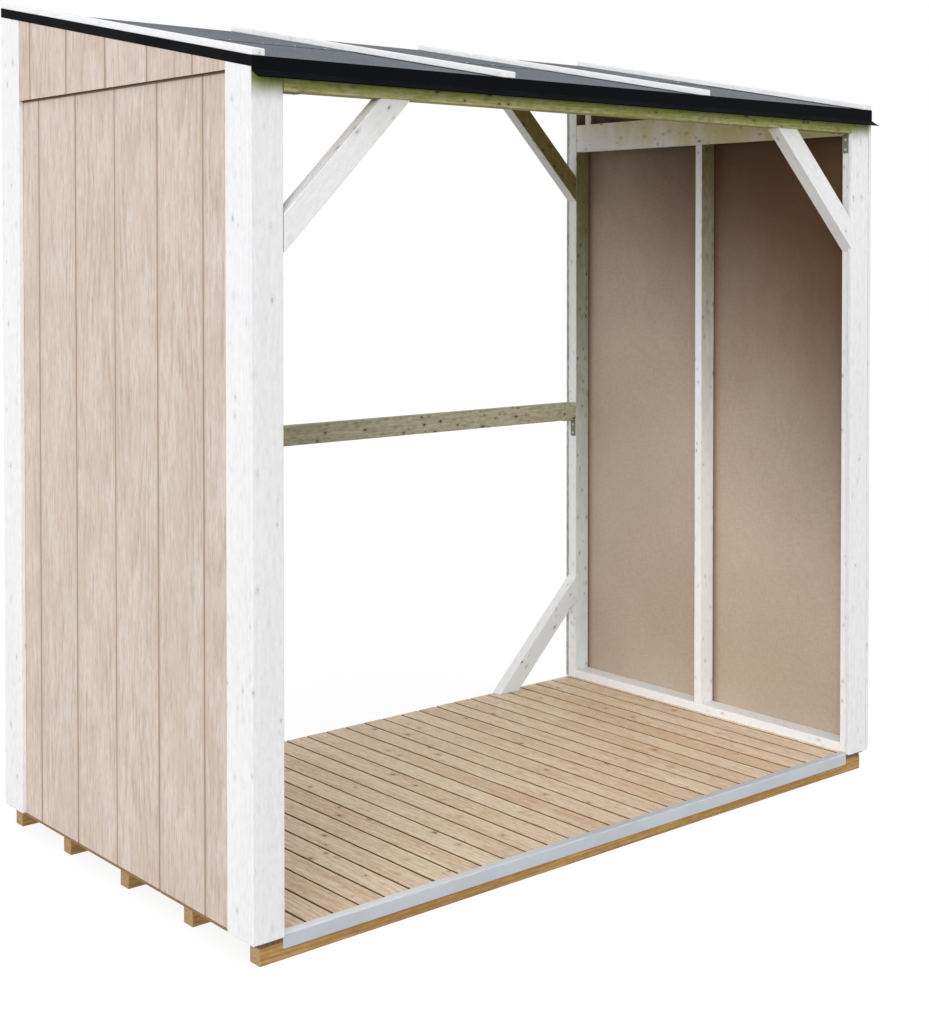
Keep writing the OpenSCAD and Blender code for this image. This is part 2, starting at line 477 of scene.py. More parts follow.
@dataclass(frozen=True)
class WeatherStain(Effect):
    """A patchy painted shade that thins out below a level, which leans up towards the back as the roof does.
    """

    title = "Weather stain"
    takes = {
        "Place": None, "Level": 2.0, "Reach": 0.5, "Lean": ROOF_LEAN, "Patchiness": 0.4, "Front only": 0.0,
    }
    gives = ("Mask",)
    # The patches are drawn out upwards
    patch_scale: ClassVar[Scale] = (14.0, 14.0, 5.0)

    def wire(self, board: Board, entry: object) -> dict[str, NodeSocket]:
        """Builds the mask from the height, roughened by noise, and keeps it to the front faces.

        Args:
            board: The board of the group's tree.
            entry: The group's inputs by name.

        Returns:
            What each output takes.
        """
        apart = board.node("ShaderNodeSeparateXYZ")
        board.feed(apart.inputs[0], entry["Place"])
        level = board.math("ADD", entry["Level"], board.math("MULTIPLY", apart.outputs[1], entry["Lean"]))
        below = board.math("DIVIDE", board.math("SUBTRACT", level, apart.outputs[2]), entry["Reach"])
        patches = board.noise(board.stretch(entry["Place"], self.patch_scale), 1.0, 4.0, 0.65)
        push = board.math("MULTIPLY", board.math("SUBTRACT", patches, 0.5), entry["Patchiness"])
        reached = board.ramp(board.math("ADD", below, push), 1.0, 0.0)
        facing = board.node("ShaderNodeSeparateXYZ")
        board.feed(facing.inputs[0], board.node("ShaderNodeTexCoord").outputs["Normal"])
        turned = board.math("ADD", facing.outputs[1], 1.0, clamp=True)
        kept = board.math("SUBTRACT", 1.0, board.math("MULTIPLY", turned, entry["Front only"]))
        return {"Mask": board.math("MULTIPLY", reached, kept)}


@dataclass(frozen=True)
class ArrisWear(Effect):
    """Rubbed and grimy stretches along the arrises."""

    title = "Arris wear"
    takes = {"Place": None, "Amount": 0.5}
    gives = ("Mask",)
    # Worn stretches to a metre
    break_scale: ClassVar[float] = 24.0

    def wire(self, board: Board, entry: object) -> dict[str, NodeSocket]:
        """Builds the mask from the arris attribute, broken up by noise.

        Args:
            board: The board of the group's tree.
            entry: The group's inputs by name.

        Returns:
            What each output takes.
        """
        arris = board.attribute("arris")
        broken = board.ramp(board.noise(entry["Place"], self.break_scale, 3.0, 0.6), 0.35, 0.7)
        return {"Mask": board.math("MULTIPLY", board.math("MULTIPLY", arris, broken), entry["Amount"])}


@dataclass(frozen=True)
class Grime(Effect):
    """Broad soft dirt with fine specks in it."""

    title = "Grime"
    takes = {"Place": None, "Patch": 3.0, "Speck": 140.0}
    gives = ("Patches", "Specks")

    def wire(self, board: Board, entry: object) -> dict[str, NodeSocket]:
        """Builds one slow noise and one fine one.

        Args:
            board: The board of the group's tree.
            entry: The group's inputs by name.

        Returns:
            What each output takes.
        """
        slow = board.node("ShaderNodeTexNoise")
        board.feed(slow.inputs["Vector"], entry["Place"])
        board.feed(slow.inputs["Scale"], entry["Patch"])
        slow.inputs["Detail"].default_value = 3.0
        fine = board.node("ShaderNodeTexNoise")
        board.feed(fine.inputs["Vector"], entry["Place"])
        board.feed(fine.inputs["Scale"], entry["Speck"])
        fine.inputs["Detail"].default_value = 2.0
        return {
            "Patches": board.ramp(slow.outputs[0], 0.3, 0.7),
            "Specks": board.ramp(fine.outputs[0], 0.35, 0.7),
        }


# ---- finishes ----


@dataclass(frozen=True)
class Finish:
    """A procedural material with a name of its own."""

    title: str

    def material(self) -> Material:
        """Builds the finish's material the first time that it is asked for.

        Returns:
            The material.
        """
        found = bpy.data.materials.get(self.title)
        if found is not None:
            return found
        made = bpy.data.materials.new(self.title)
        made.use_nodes = True
        board = Board(made.node_tree)
        shader = made.node_tree.nodes["Principled BSDF"]
        self.dress(board, shader.inputs)
        return made

    def dress(self, board: Board, shader: object) -> None:
        """Wires the nodes into the shader's inputs."""
        raise NotImplementedError


@dataclass(frozen=True)
class TimberFinish(Finish):
    """Sawn or planed timber, bare or painted, with knots, painted shade and worn arrises."""

    pale: Colour
    dark: Colour
    knot: Colour
    # The rings' spacing and taper, and how far each part of the grain darkens the timber
    ring_width: float = 0.005
    taper: float = 0.02
    ring_share: float = 0.5
    fibre_share: float = 0.3
    tone_share: float = 0.3
    mottle_share: float = 0.15
    board_share: float = 0.0
    # The knots' spacing and radius, how many places have one, their length in widths, and their tone
    knot_spacing: float = 0.06
    knot_radius: float = 0.003
    knot_count: float = 0.5
    knot_length: float = 1.8
    knot_share: float = 1.0
    halo_share: float = 0.3
    # The painted shade stands for the shade under the roof and eave and the green tint of light bounced into
    # it; it fades from full to none over its reach below its level
    stain: Colour = (0.2, 0.2, 0.1, 1.0)
    stain_level: float = 0.0
    stain_reach: float = 0.3
    stain_patches: float = 0.4
    stain_share: float = 0.0
    stain_front_only: float = 0.0
    stain_evenness: float = 0.94
    wear: Colour = (0.5, 0.5, 0.5, 1.0)
    wear_share: float = 0.3
    roughness: float = 0.6
    gloss: float = 0.3
    relief: float = 0.0004

    def dress(self, board: Board, shader: object) -> None:
        """Lays rings, fibres, knots, painted shade and wear over the pale ground.

        Args:
            board: The board of the material's tree.
            shader: The shader's inputs by name.
        """
        grain_place = board.attribute("grain", vector=True)
        place = board.place()
        grain = board.effect(
            TimberGrain(), Place=grain_place, Ring_width=self.ring_width, Taper=self.taper
        ).outputs
        knots = board.effect(
            Knots(), Place=grain_place, Spacing=self.knot_spacing, Radius=self.knot_radius,
            Share=self.knot_count, Length=self.knot_length,
        ).outputs
        rings = board.math("MULTIPLY", grain["Rings"], self.ring_share)
        fibres = board.math("MULTIPLY", grain["Fibres"], self.fibre_share)
        tone = board.math("MULTIPLY", grain["Tone"], self.tone_share)
        mottle = board.math("MULTIPLY", grain["Mottle"], self.mottle_share)
        own = board.math("MULTIPLY", board.attribute("tone"), self.board_share)
        streaks = board.math("ADD", board.math("ADD", rings, fibres), mottle)
        depth = board.math("ADD", board.math("ADD", streaks, tone), own, clamp=True)
        colour = board.blend(depth, self.pale, self.dark)
        shown = self.knot_share
        # Painted shade: the colour darkens and turns olive where the mask is full, and the knots show more
        # there
        if self.stain_share:
            stain = board.effect(
                WeatherStain(), Place=place, Level=self.stain_level, Reach=self.stain_reach,
                Patchiness=self.stain_patches, Front_only=self.stain_front_only,
            ).outputs["Mask"]
            least = self.stain_share * self.stain_evenness
            shade_depth = board.ramp(grain["Mottle"], 0.0, 1.0, least, self.stain_share)
            colour = board.blend(board.math("MULTIPLY", stain, shade_depth), colour, self.stain)
            shown = board.ramp(stain, 0.0, 0.6, self.knot_share, 1.0)
        halo = board.math("MULTIPLY", knots["Halo"], self.halo_share)
        colour = board.blend(board.math("MULTIPLY", halo, shown), colour, self.knot)
        colour = board.blend(board.math("MULTIPLY", knots["Core"], shown), colour, self.knot)
        wear = board.effect(ArrisWear(), Place=place, Amount=self.wear_share).outputs["Mask"]
        board.feed(shader["Base Color"], board.blend(wear, colour, self.wear))
        shader["Specular IOR Level"].default_value = self.gloss
        low, high = self.roughness - 0.06, self.roughness + 0.1
        board.feed(shader["Roughness"], board.ramp(grain["Fibres"], 0.0, 1.0, low, high))
        height = board.math("SUBTRACT", board.math("MULTIPLY", grain["Fibres"], 0.4), knots["Core"])
        height = board.math("SUBTRACT", height, board.math("MULTIPLY", grain["Rings"], 0.5))
        board.feed(shader["Normal"], board.bump(height, self.relief))


@dataclass(frozen=True)
class Patches:
    """Patches drawn by noise, which are empty at its low level and full at its high one."""

    scale: Scale
    low: float
    high: float

    def draw(self, board: Board, place: NodeSocket) -> NodeSocket:
        """Adds the patches to a tree.

        Args:
            board: The board of the material's tree.
            place: Where the patches are read.

        Returns:
            The patches from 0 to 1.
        """
        return board.ramp(board.noise(board.stretch(place, self.scale), 1.0, 4.0, 0.62), self.low, self.high)


@dataclass(frozen=True)
class SidingFinish(Finish):
    """Primed grooved siding whose face is pressed with a cedar grain."""

    tan: Colour = paint(218, 201, 187)
    pink: Colour = paint(226, 211, 201)
    shade: Colour = paint(188, 168, 150)
    light: Colour = paint(234, 223, 212)
    groove: Colour = paint(168, 145, 126)
    # The lap colour is painted shade under the gable panel's lap, and also makes the darker line along the
    # foot
    lap: Colour = paint(140, 104, 66)
    # Clouds of tone and the marks that the press leaves, all drawn out along the planks
    clouds: Patches = Patches((4.5, 13.0, 13.0), 0.42, 0.6)
    swirls: Patches = Patches((2.6, 8.0, 8.0), 0.46, 0.62)
    flecks: Patches = Patches((13.0, 165.0, 165.0), 0.47, 0.66)
    cracks: Patches = Patches((8.0, 75.0, 75.0), 0.57, 0.66)
    patches: Patches = Patches((11.0, 30.0, 30.0), 0.5, 0.64)
    streaks: Patches = Patches((1.5, 60.0, 60.0), 0.58, 0.72)
    figure_width: float = 0.013
    figure_share: float = 0.36
    fibre_share: float = 0.2
    mottle_share: float = 0.26
    fleck_share: float = 0.38
    tone_share: float = 0.12
    streak_share: float = 0.12
    patch_share: float = 0.14
    crack_share: float = 0.36
    edge_share: float = 0.4
    relief: float = 0.0004

    def dress(self, board: Board, shader: object) -> None:
        """Lays tan and pinkish clouds, pressed figure, cracks and streaks, darkens the grooves, and paints
        shade beside them and under the lap.

        Args:
            board: The board of the material's tree.
            shader: The shader's inputs by name.
        """
        grain_place = board.attribute("grain", vector=True)
        grain = board.effect(
            TimberGrain(), Place=grain_place, Ring_width=self.figure_width, Wander=0.04, Taper=0.05
        ).outputs
        marks = (self.clouds, self.swirls, self.flecks, self.cracks, self.patches, self.streaks)
        clouds, swirls, flecks, cracks, patches, streaks = (mark.draw(board, grain_place) for mark in marks)
        drawn = board.math("MULTIPLY", board.math("MULTIPLY", grain["Rings"], swirls), self.figure_share)
        for part, share in (
            (grain["Fibres"], self.fibre_share),
            (grain["Mottle"], self.mottle_share),
            (flecks, self.fleck_share),
            (board.attribute("tone"), self.tone_share),
        ):
            drawn = board.math("ADD", drawn, board.math("MULTIPLY", part, share), clamp=True)
        colour = board.blend(clouds, self.tan, self.pink)
        colour = board.blend(drawn, colour, self.shade)
        for part, share, laid in (
            (streaks, self.streak_share, self.light),
            (patches, self.patch_share, self.shade),
            (cracks, self.crack_share, self.groove),
            # Painted shade that fades out from each groove
            (board.attribute("beside"), self.edge_share, self.shade),
        ):
            colour = board.blend(board.math("MULTIPLY", part, share), colour, laid)
        colour = board.blend(board.attribute("groove"), colour, self.groove)
        # Painted shade line under the gable's lap, and the darker line along the foot
        colour = board.blend(board.attribute("lap"), colour, self.lap)
        board.feed(shader["Base Color"], colour)
        board.feed(shader["Roughness"], board.ramp(grain["Fibres"], 0.0, 1.0, 0.55, 0.72))
        height = board.math("ADD", board.math("MULTIPLY", grain["Rings"], 0.6), grain["Fibres"])
        board.feed(shader["Normal"], board.bump(height, self.relief))


@dataclass(frozen=True)
class HardboardFinish(Finish):
    """The smooth brown back of the siding, with the press's fine mesh, painted shade beside the posts and
    painted shade under the roof.
    """

    ground: Colour = paint(200, 184, 167)
    shade: Colour = paint(174, 156, 138)
    seam: Colour = paint(92, 60, 40)
    smoke: Colour = paint(80, 49, 16)
    # Painted shade under the roof, which starts lower towards the front
    smoke_level: float = 2.03
    smoke_reach: float = 1.26
    smoke_lean: float = 0.9
    smoke_share: float = 0.9
    # Threads to a metre across and along each direction of the mesh
    mesh_fine: float = 520.0
    mesh_coarse: float = 30.0
    mesh_share: float = 0.35
    patch_share: float = 0.35
    speck_share: float = 0.15
    seam_share: float = 0.85
    seam_tightness: float = 2.3
    gloss: float = 0.08

    def dress(self, board: Board, shader: object) -> None:
        """Lays a crossed fine mesh and broad clouds over the brown, with painted shade towards the roof and
        beside the posts.

        Args:
            board: The board of the material's tree.
            shader: The shader's inputs by name.
        """
        place = board.place()
        fine, coarse = self.mesh_fine, self.mesh_coarse
        mesh = [
            board.noise(board.stretch(place, scale), 1.0, 1.0, 0.5)
            for scale in ((1.0, fine, coarse), (1.0, coarse, fine))
        ]
        crossed = board.ramp(board.math("ADD", mesh[0], mesh[1]), 0.75, 1.25)
        grime = board.effect(Grime(), Place=place, Patch=2.2, Speck=90.0).outputs
        depth = board.math("MULTIPLY", crossed, self.mesh_share)
        depth = board.math("ADD", depth, board.math("MULTIPLY", grime["Patches"], self.patch_share))
        specks = board.math("MULTIPLY", grime["Specks"], self.speck_share)
        depth = board.math("ADD", depth, specks, clamp=True)
        # Painted shade under the roof
        smoke = board.effect(
            WeatherStain(), Place=place, Level=self.smoke_level, Reach=self.smoke_reach,
            Lean=self.smoke_lean, Patchiness=0.1,
        ).outputs["Mask"]
        colour = board.blend(depth, self.ground, self.shade)
        colour = board.blend(board.math("MULTIPLY", smoke, self.smoke_share), colour, self.smoke)
        # Painted shade beside each upright, darkest at its edge
        beside = board.math("POWER", board.attribute("beside"), self.seam_tightness)
        colour = board.blend(board.math("MULTIPLY", beside, self.seam_share), colour, self.seam)
        board.feed(shader["Base Color"], colour)
        shader["Specular IOR Level"].default_value = self.gloss
        board.feed(shader["Roughness"], board.ramp(grime["Patches"], 0.0, 1.0, 0.42, 0.55))
        board.feed(shader["Normal"], board.bump(crossed, 0.0002))


@dataclass(frozen=True)
class FeltFinish(Finish):
    """Mineral-faced roof felt."""

    ground: Colour = paint(92, 99, 107)
    pale: Colour = paint(132, 139, 147)
    dark: Colour = paint(62, 67, 74)
    granules: float = 520.0
    patch_share: float = 0.25

    def dress(self, board: Board, shader: object) -> None:
        """Scatters pale and dark granules over the slate ground, with weathered patches.

        Args:
            board: The board of the material's tree.
            shader: The shader's inputs by name.
        """
        place = board.place()
        cells = board.node("ShaderNodeTexVoronoi", voronoi_dimensions="3D", feature="F1")
        board.feed(cells.inputs["Vector"], place)
        cells.inputs["Scale"].default_value = self.granules
        chance = board.node("ShaderNodeSeparateColor")
        board.feed(chance.inputs[0], cells.outputs["Color"])
        grime = board.effect(Grime(), Place=place, Patch=2.6, Speck=60.0).outputs
        colour = board.blend(board.ramp(chance.outputs[0], 0.55, 0.95), self.ground, self.pale)
        colour = board.blend(board.ramp(chance.outputs[1], 0.6, 0.95), colour, self.dark)
        patches = board.math("MULTIPLY", grime["Patches"], self.patch_share)
        colour = board.blend(patches, colour, self.dark)
        board.feed(shader["Base Color"], colour)
        board.feed(shader["Roughness"], board.ramp(chance.outputs[2], 0.0, 1.0, 0.75, 0.95))
        grit = board.math("ADD", board.math("SUBTRACT", 1.0, cells.outputs["Distance"]), grime["Specks"])
        board.feed(shader["Normal"], board.bump(grit, 0.0008))


@dataclass(frozen=True)
class SheetMetalFinish(Finish):
    """Coated or bare sheet metal with faint rolling waves, dust, rubbed folds and a painted highlight on the
    top where it is asked for.
    """

    ground: Colour
    shade: Colour
    rubbed: Colour
    metallic: float = 0.0
    roughness: float = 0.4
    gloss: float = 0.5
    dust_share: float = 0.15
    wear_share: float = 0.5
    # How bright the painted highlight on the top is, and between which places in X it grows to that
    tread_share: float = 0.0
    tread_from: float = 0.2
    tread_to: float = -1.0

    def dress(self, board: Board, shader: object) -> None:
        """Lays dust and rubbed folds over the coat, and paints a highlight on the top that grows towards one
        end.

        Args:
            board: The board of the material's tree.
            shader: The shader's inputs by name.
        """
        place = board.place()
        grime = board.effect(Grime(), Place=place, Patch=6.0, Speck=220.0).outputs
        wear = board.effect(ArrisWear(), Place=place, Amount=self.wear_share).outputs["Mask"]
        dust = board.math("MULTIPLY", grime["Patches"], self.dust_share)
        colour = board.blend(dust, self.ground, self.shade)
        colour = board.blend(wear, colour, self.rubbed)
        # Painted highlight: the top faces lighten towards one end
        if self.tread_share:
            across, facing = board.node("ShaderNodeSeparateXYZ"), board.node("ShaderNodeSeparateXYZ")
            board.feed(across.inputs[0], place)
            board.feed(facing.inputs[0], board.node("ShaderNodeTexCoord").outputs["Normal"])
            highlight = board.ramp(across.outputs[0], self.tread_from, self.tread_to, 0.0, self.tread_share)
            upward = board.ramp(facing.outputs[2], 0.5, 0.9)
            colour = board.blend(board.math("MULTIPLY", highlight, upward), colour, self.rubbed)
        board.feed(shader["Base Color"], colour)
        shader["Metallic"].default_value = self.metallic
        shader["Specular IOR Level"].default_value = self.gloss
        low, high = self.roughness - 0.05, self.roughness + 0.12
        board.feed(shader["Roughness"], board.ramp(grime["Patches"], 0.0, 1.0, low, high))
        board.feed(shader["Normal"], board.bump(grime["Specks"], 0.00005))


WHITE_PAINT = TimberFinish(
    "white painted timber",
    pale=paint(248, 247, 247), dark=paint(222, 222, 223), knot=paint(150, 152, 156),
    ring_width=0.006, ring_share=0.1, fibre_share=0.12, tone_share=0.14, mottle_share=0.28,
    board_share=0.08, knot_spacing=0.028, knot_radius=0.0034, knot_count=0.62, knot_length=1.9,
    knot_share=0.5, halo_share=0.3,
    wear=paint(214, 214, 218), wear_share=0.35, roughness=0.5, relief=0.00025,
)
# Painted shade in the rear joints: the inner edges of the rear corner boards are grey, with dark flecks
JOINT_SHADE_EDGE = replace(
    WHITE_PAINT, title="greyed paint in the rear joints",
    pale=paint(196, 200, 204), dark=paint(118, 120, 124), knot=paint(52, 50, 50), mottle_share=0.6,
    knot_share=1.0,
)
# Painted shadow under the eave flashing, tinted green by bounce light, on the front faces only
FRONT_BOARD_PAINT = replace(
    WHITE_PAINT, title="white paint stained under the eave",
    stain=paint(130, 140, 58), stain_level=2.052, stain_reach=0.06, stain_patches=0.6, stain_share=1.0,
    stain_front_only=1.0,
)
# Painted shade: the top of each front brace, under the header, turns greenish grey
BRACE_PAINT = replace(
    WHITE_PAINT, title="white painted brace", knot=paint(120, 120, 108), knot_count=0.7,
    stain=paint(166, 164, 132), stain_level=2.1, stain_reach=0.25, stain_patches=0.7, stain_share=0.4,
)
# Painted shade under the roof, tinted olive by green bounce light and strongest on the front faces; the
# olive knots show more in it
INNER_PAINT = replace(
    WHITE_PAINT, title="white paint stained under the roof",
    pale=paint(253, 255, 255), dark=paint(236, 240, 242), knot=paint(80, 78, 56), mottle_share=0.34,
    knot_spacing=0.022, knot_radius=0.0031, knot_count=0.75, knot_length=1.7, knot_share=0.3,
    stain=paint(131, 123, 62), stain_level=2.0, stain_reach=1.4, stain_patches=0.45,
    stain_share=1.0, stain_front_only=0.86, gloss=0.1,
)
# Painted shade with an olive tint, reaching lower and mostly on the front faces
UPPER_BRACE_PAINT = replace(
    INNER_PAINT, title="white paint of the upper rear braces",
    stain=paint(140, 130, 70), stain_level=1.7, stain_front_only=0.8,
)
# Painted shade with an olive tint, reaching far down the rear posts, mostly on their front faces
REAR_PAINT = replace(
    INNER_PAINT, title="white paint stained down the rear posts",
    pale=paint(243, 255, 255), dark=paint(225, 240, 244), stain_reach=2.2,
)
# Painted shade: the front faces are made cooler and a little darker than the other faces
LOWER_BRACE_PAINT = replace(
    INNER_PAINT, title="white paint of the lower rear braces",
    stain=paint(226, 238, 248), stain_level=0.0, stain_share=0.65, stain_front_only=1.0,
)
# Painted shade in patches near the top, tinted yellow-green by bounce light, on every face
RAIL_PAINT = replace(
    INNER_PAINT, title="white paint of the top rails",
    pale=paint(253, 255, 255), dark=paint(240, 243, 241),
    stain=paint(212, 206, 128), stain_reach=0.2, stain_patches=1.6, stain_share=0.78, stain_front_only=0.0,
)
# White timber whose olive-grey ground is painted shade, tinted green by bounce light
GREEN_SHADED_TIMBER = TimberFinish(
    "weathered green timber",
    pale=paint(223, 220, 194), dark=paint(173, 170, 142), knot=paint(78, 66, 52),
    ring_width=0.006, ring_share=0.22, fibre_share=0.25, tone_share=0.35, mottle_share=0.5,
    board_share=0.1, knot_spacing=0.022, knot_radius=0.0034, knot_count=0.9, knot_length=1.6,
    halo_share=0.35, wear=paint(130, 122, 84), wear_share=0.5, roughness=0.7, relief=0.0005,
)
# The header's olive ground is painted shade tinted green by bounce light, and the band just under the
# flashing's lip is painted shadow
GREEN_SHADED_HEADER = replace(
    GREEN_SHADED_TIMBER, title="mossy header timber",
    pale=paint(212, 205, 156), dark=paint(144, 138, 84),
    wear=paint(186, 180, 138), wear_share=0.7,
    stain=paint(150, 164, 56), stain_level=2.06, stain_reach=0.05, stain_patches=1.6, stain_share=0.75,
)
FLOOR_PINE = TimberFinish(
    "planed pine",
    pale=paint(255, 241, 216), dark=paint(213, 180, 147), knot=paint(172, 112, 76),
    ring_width=0.014, taper=0.05, ring_share=0.22, fibre_share=0.36, tone_share=0.3, mottle_share=0.34,
    board_share=0.14, knot_spacing=0.048, knot_radius=0.0062, knot_count=0.55, knot_length=1.3,
    halo_share=0.32,
    wear=paint(150, 116, 84), wear_share=0.8, roughness=0.55, relief=0.0004,
)
# Painted shade in the gaps: the boards' sides and front ends are given this darker pine
FLOOR_GAP_SHADE = replace(
    FLOOR_PINE, title="planed pine in the gaps",
    pale=paint(146, 106, 72), dark=paint(102, 74, 50),
)
BEARER_TIMBER = TimberFinish(
    "treated bearer timber",
    pale=paint(214, 172, 110), dark=paint(160, 121, 70), knot=paint(84, 58, 30),
    ring_width=0.011, ring_share=0.3, fibre_share=0.4, tone_share=0.6, mottle_share=0.3, board_share=0.2,
    knot_spacing=0.09, knot_radius=0.008, knot_count=0.5, halo_share=0.5,
    wear=paint(120, 88, 48), wear_share=0.6, roughness=0.75, relief=0.0006,
)
BEARER_END = replace(
    BEARER_TIMBER, title="sawn bearer ends",
    pale=paint(202, 172, 126), dark=paint(160, 130, 90), ring_share=0.2, knot_count=0.0,
)
ROOF_BOARDING = TimberFinish(
    "roof boarding",
    pale=paint(206, 184, 146), dark=paint(170, 140, 100), knot=paint(118, 82, 52),
    ring_width=0.007, ring_share=0.45, fibre_share=0.4, tone_share=0.3, board_share=0.3,
    knot_spacing=0.14, knot_radius=0.009, knot_count=0.4, halo_share=0.45,
    wear=paint(130, 104, 72), wear_share=0.5, roughness=0.7, relief=0.0005,
)
SIDING = SidingFinish("grooved siding")
HARDBOARD = HardboardFinish("hardboard back")
RAW_EDGE = HardboardFinish("raw hardboard edge", ground=paint(92, 72, 46), shade=paint(60, 44, 24))
FELT = FeltFinish("roof felt")
BLACK_COAT = SheetMetalFinish(
    "black coated trim",
    ground=paint(12, 13, 16), shade=paint(20, 22, 26), rubbed=paint(46, 50, 58),
    gloss=0.03, roughness=0.6, dust_share=0.5, wear_share=0.45,
)
# The sill's top gets a painted highlight that grows towards the left end
SILL_COAT = SheetMetalFinish(
    "coated sill angle",
    ground=paint(196, 201, 207), shade=paint(184, 188, 194), rubbed=paint(232, 234, 237),
    gloss=0.4, roughness=0.34, dust_share=0.5, wear_share=0.5, tread_share=1.0,
)
ZINC_PLATE = SheetMetalFinish(
    "zinc plated bracket",
    ground=paint(136, 140, 120), shade=paint(104, 108, 88), rubbed=paint(176, 178, 166),
    roughness=0.45, dust_share=0.6, wear_share=0.6,
)
SCREW_STEEL = SheetMetalFinish(
    "bright screw steel",
    ground=paint(216, 218, 214), shade=paint(170, 172, 166), rubbed=paint(236, 236, 236),
    metallic=0.5, roughness=0.35, dust_share=0.4, wear_share=0.4,
)


# ---- mesh tools ----


def merged_copy(node: str) -> BMesh:
    """Copies a CAD node with its loose triangles merged and its flat faces made whole.

    Args:
        node: The CAD node's name.

    Returns:
        A closed mesh in the shared frame.
    """
    shape = bmesh.new()
    shape.from_mesh(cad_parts[node].data)
    bmesh.ops.remove_doubles(shape, verts=shape.verts, dist=MERGE)
    bmesh.ops.dissolve_limit(shape, angle_limit=FLAT, verts=shape.verts, edges=shape.edges)
    return shape


def round_arrises(shape: BMesh, width: float, segments: int = 2) -> None:
    """Rounds every sharp edge and marks the new faces as arrises.

    Args:
        shape: The mesh to round.
        width: How far the rounding reaches from each edge, in metres.
        segments: How many faces make each rounding.
    """
    mark = shape.faces.layers.float.get("arris") or shape.faces.layers.float.new("arris")
    sharp = [e for e in shape.edges if e.is_manifold and e.calc_face_angle(0.0) > SHARP]
    made = bmesh.ops.bevel(
        shape, geom=sharp, offset=width, offset_type="OFFSET", affect="EDGES",
        segments=segments, profile=0.5, material=-1, clamp_overlap=True,
    )
    for face in made["faces"]:
        face[mark] = 1.0


def loose_parts(shape: BMesh) -> list[list[BMFace]]:
    """Splits a mesh's faces into its unconnected parts.

    Args:
        shape: The mesh to split.

    Returns:
        Each part as a list of its faces.
    """
    seen: set[BMFace] = set()
    parts = []
    for first in shape.faces:
        if first in seen:
            continue
        seen.add(first)
        part, waiting = [], [first]
        while waiting:
            face = waiting.pop()
            part.append(face)
            for edge in face.edges:
                for other in edge.link_faces:
                    if other not in seen:
                        seen.add(other)
                        waiting.append(other)
        parts.append(part)
    return parts


def stamp_grain(shape: BMesh, run: Run, seed: str, pith: float = 0.05) -> None:
    """Gives every board in a mesh its own length of log.

    The grain attribute is the distance along the fibres and the two distances from the pith.

    Args:
        shape: The mesh, whose unconnected parts are boards.
        run: The direction of the fibres.
        seed: A word that fixes the random choices.
        pith: The usual distance from a board's middle to the pith, in metres.
    """
    dice = random.Random(seed)
    grain = shape.loops.layers.float_vector.get("grain") or shape.loops.layers.float_vector.new("grain")
    tone = shape.faces.layers.float.get("tone") or shape.faces.layers.float.new("tone")
    along = run.axis
    across = along.orthogonal().normalized()
    through = along.cross(across)
    for part in loose_parts(shape):
        middle = sum((face.calc_center_median() for face in part), Vector()) / len(part)
        turn = dice.uniform(0.0, math.tau)
        reach = pith * dice.uniform(0.6, 1.4)
        shift = Vector((dice.uniform(0.0, LOG_LENGTH), reach * math.cos(turn), reach * math.sin(turn)))
        share = dice.random()
        for face in part:
            face[tone] = share
            for corner in face.loops:
                gap = corner.vert.co - middle
                corner[grain] = shift + Vector((gap.dot(along), gap.dot(across), gap.dot(through)))


def plank(shape: BMesh, low: Vector, high: Vector) -> list[BMVert]:
    """Adds a square-edged board between two corners.

    Args:
        shape: The mesh to add to.
        low: The board's lowest corner.
        high: Its highest corner.

    Returns:
        The board's vertices.
    """
    corners = bmesh.ops.create_cube(shape, size=1.0)["verts"]
    bmesh.ops.scale(shape, vec=high - low, verts=corners)
    bmesh.ops.translate(shape, vec=(low + high) / 2.0, verts=corners)
    return corners


def screw_head(shape: BMesh, place: Vector, facing: Vector, radius: float, rise: float) -> None:
    """Adds a domed screw or nail head.

    Args:
        shape: The mesh to add to.
        place: The middle of the head's seat.
        facing: The direction in which the head looks.
        radius: The head's radius.
        rise: The head's height.
    """
    turn = facing.to_track_quat("Z", "Y").to_matrix().to_4x4()
    seat = Matrix.Translation(place + facing * (rise / 2.0)) @ turn
    bmesh.ops.create_cone(
        shape, cap_ends=True, segments=HEAD_SIDES, radius1=radius, radius2=radius * HEAD_TAPER,
        depth=rise, matrix=seat,
    )


def folded_sheet(
    profile: Sequence[tuple[float, float]], span: tuple[float, float], sheet: float, bend: float
) -> BMesh:
    """Folds a sheet along X from its outer line in depth and height.

    Args:
        profile: The outer line's points as depth and height, with the sheet's thickness on their right.
        span: The sheet's two ends in X.
        sheet: The sheet's thickness.
        bend: The outer radius of each fold.

    Returns:
        The folded sheet as a closed mesh.
    """
    shape = bmesh.new()
    line = [shape.verts.new((span[0], y, z)) for y, z in profile]
    edges = [shape.edges.new(pair) for pair in zip(line, line[1:])]
    made = bmesh.ops.extrude_edge_only(shape, edges=edges)["geom"]
    far = [part for part in made if isinstance(part, BMVert)]
    bmesh.ops.translate(shape, vec=(span[1] - span[0], 0.0, 0.0), verts=far)
    folds = [edge for edge in shape.edges if len(edge.link_faces) == 2]
    mark = shape.faces.layers.float.new("arris")
    rounded = bmesh.ops.bevel(
        shape, geom=folds, offset=bend, offset_type="OFFSET", affect="EDGES",
        segments=BEND_STEPS, profile=0.5, material=-1,
    )
    for face in rounded["faces"]:
        face[mark] = 1.0
    bmesh.ops.solidify(shape, geom=shape.faces[:], thickness=sheet)
    bmesh.ops.recalc_face_normals(shape, faces=shape.faces)
    for face in shape.faces:
        face.smooth = True
    for edge in shape.edges:
        edge.smooth = edge.calc_face_angle(0.0) < CREASE
    return shape


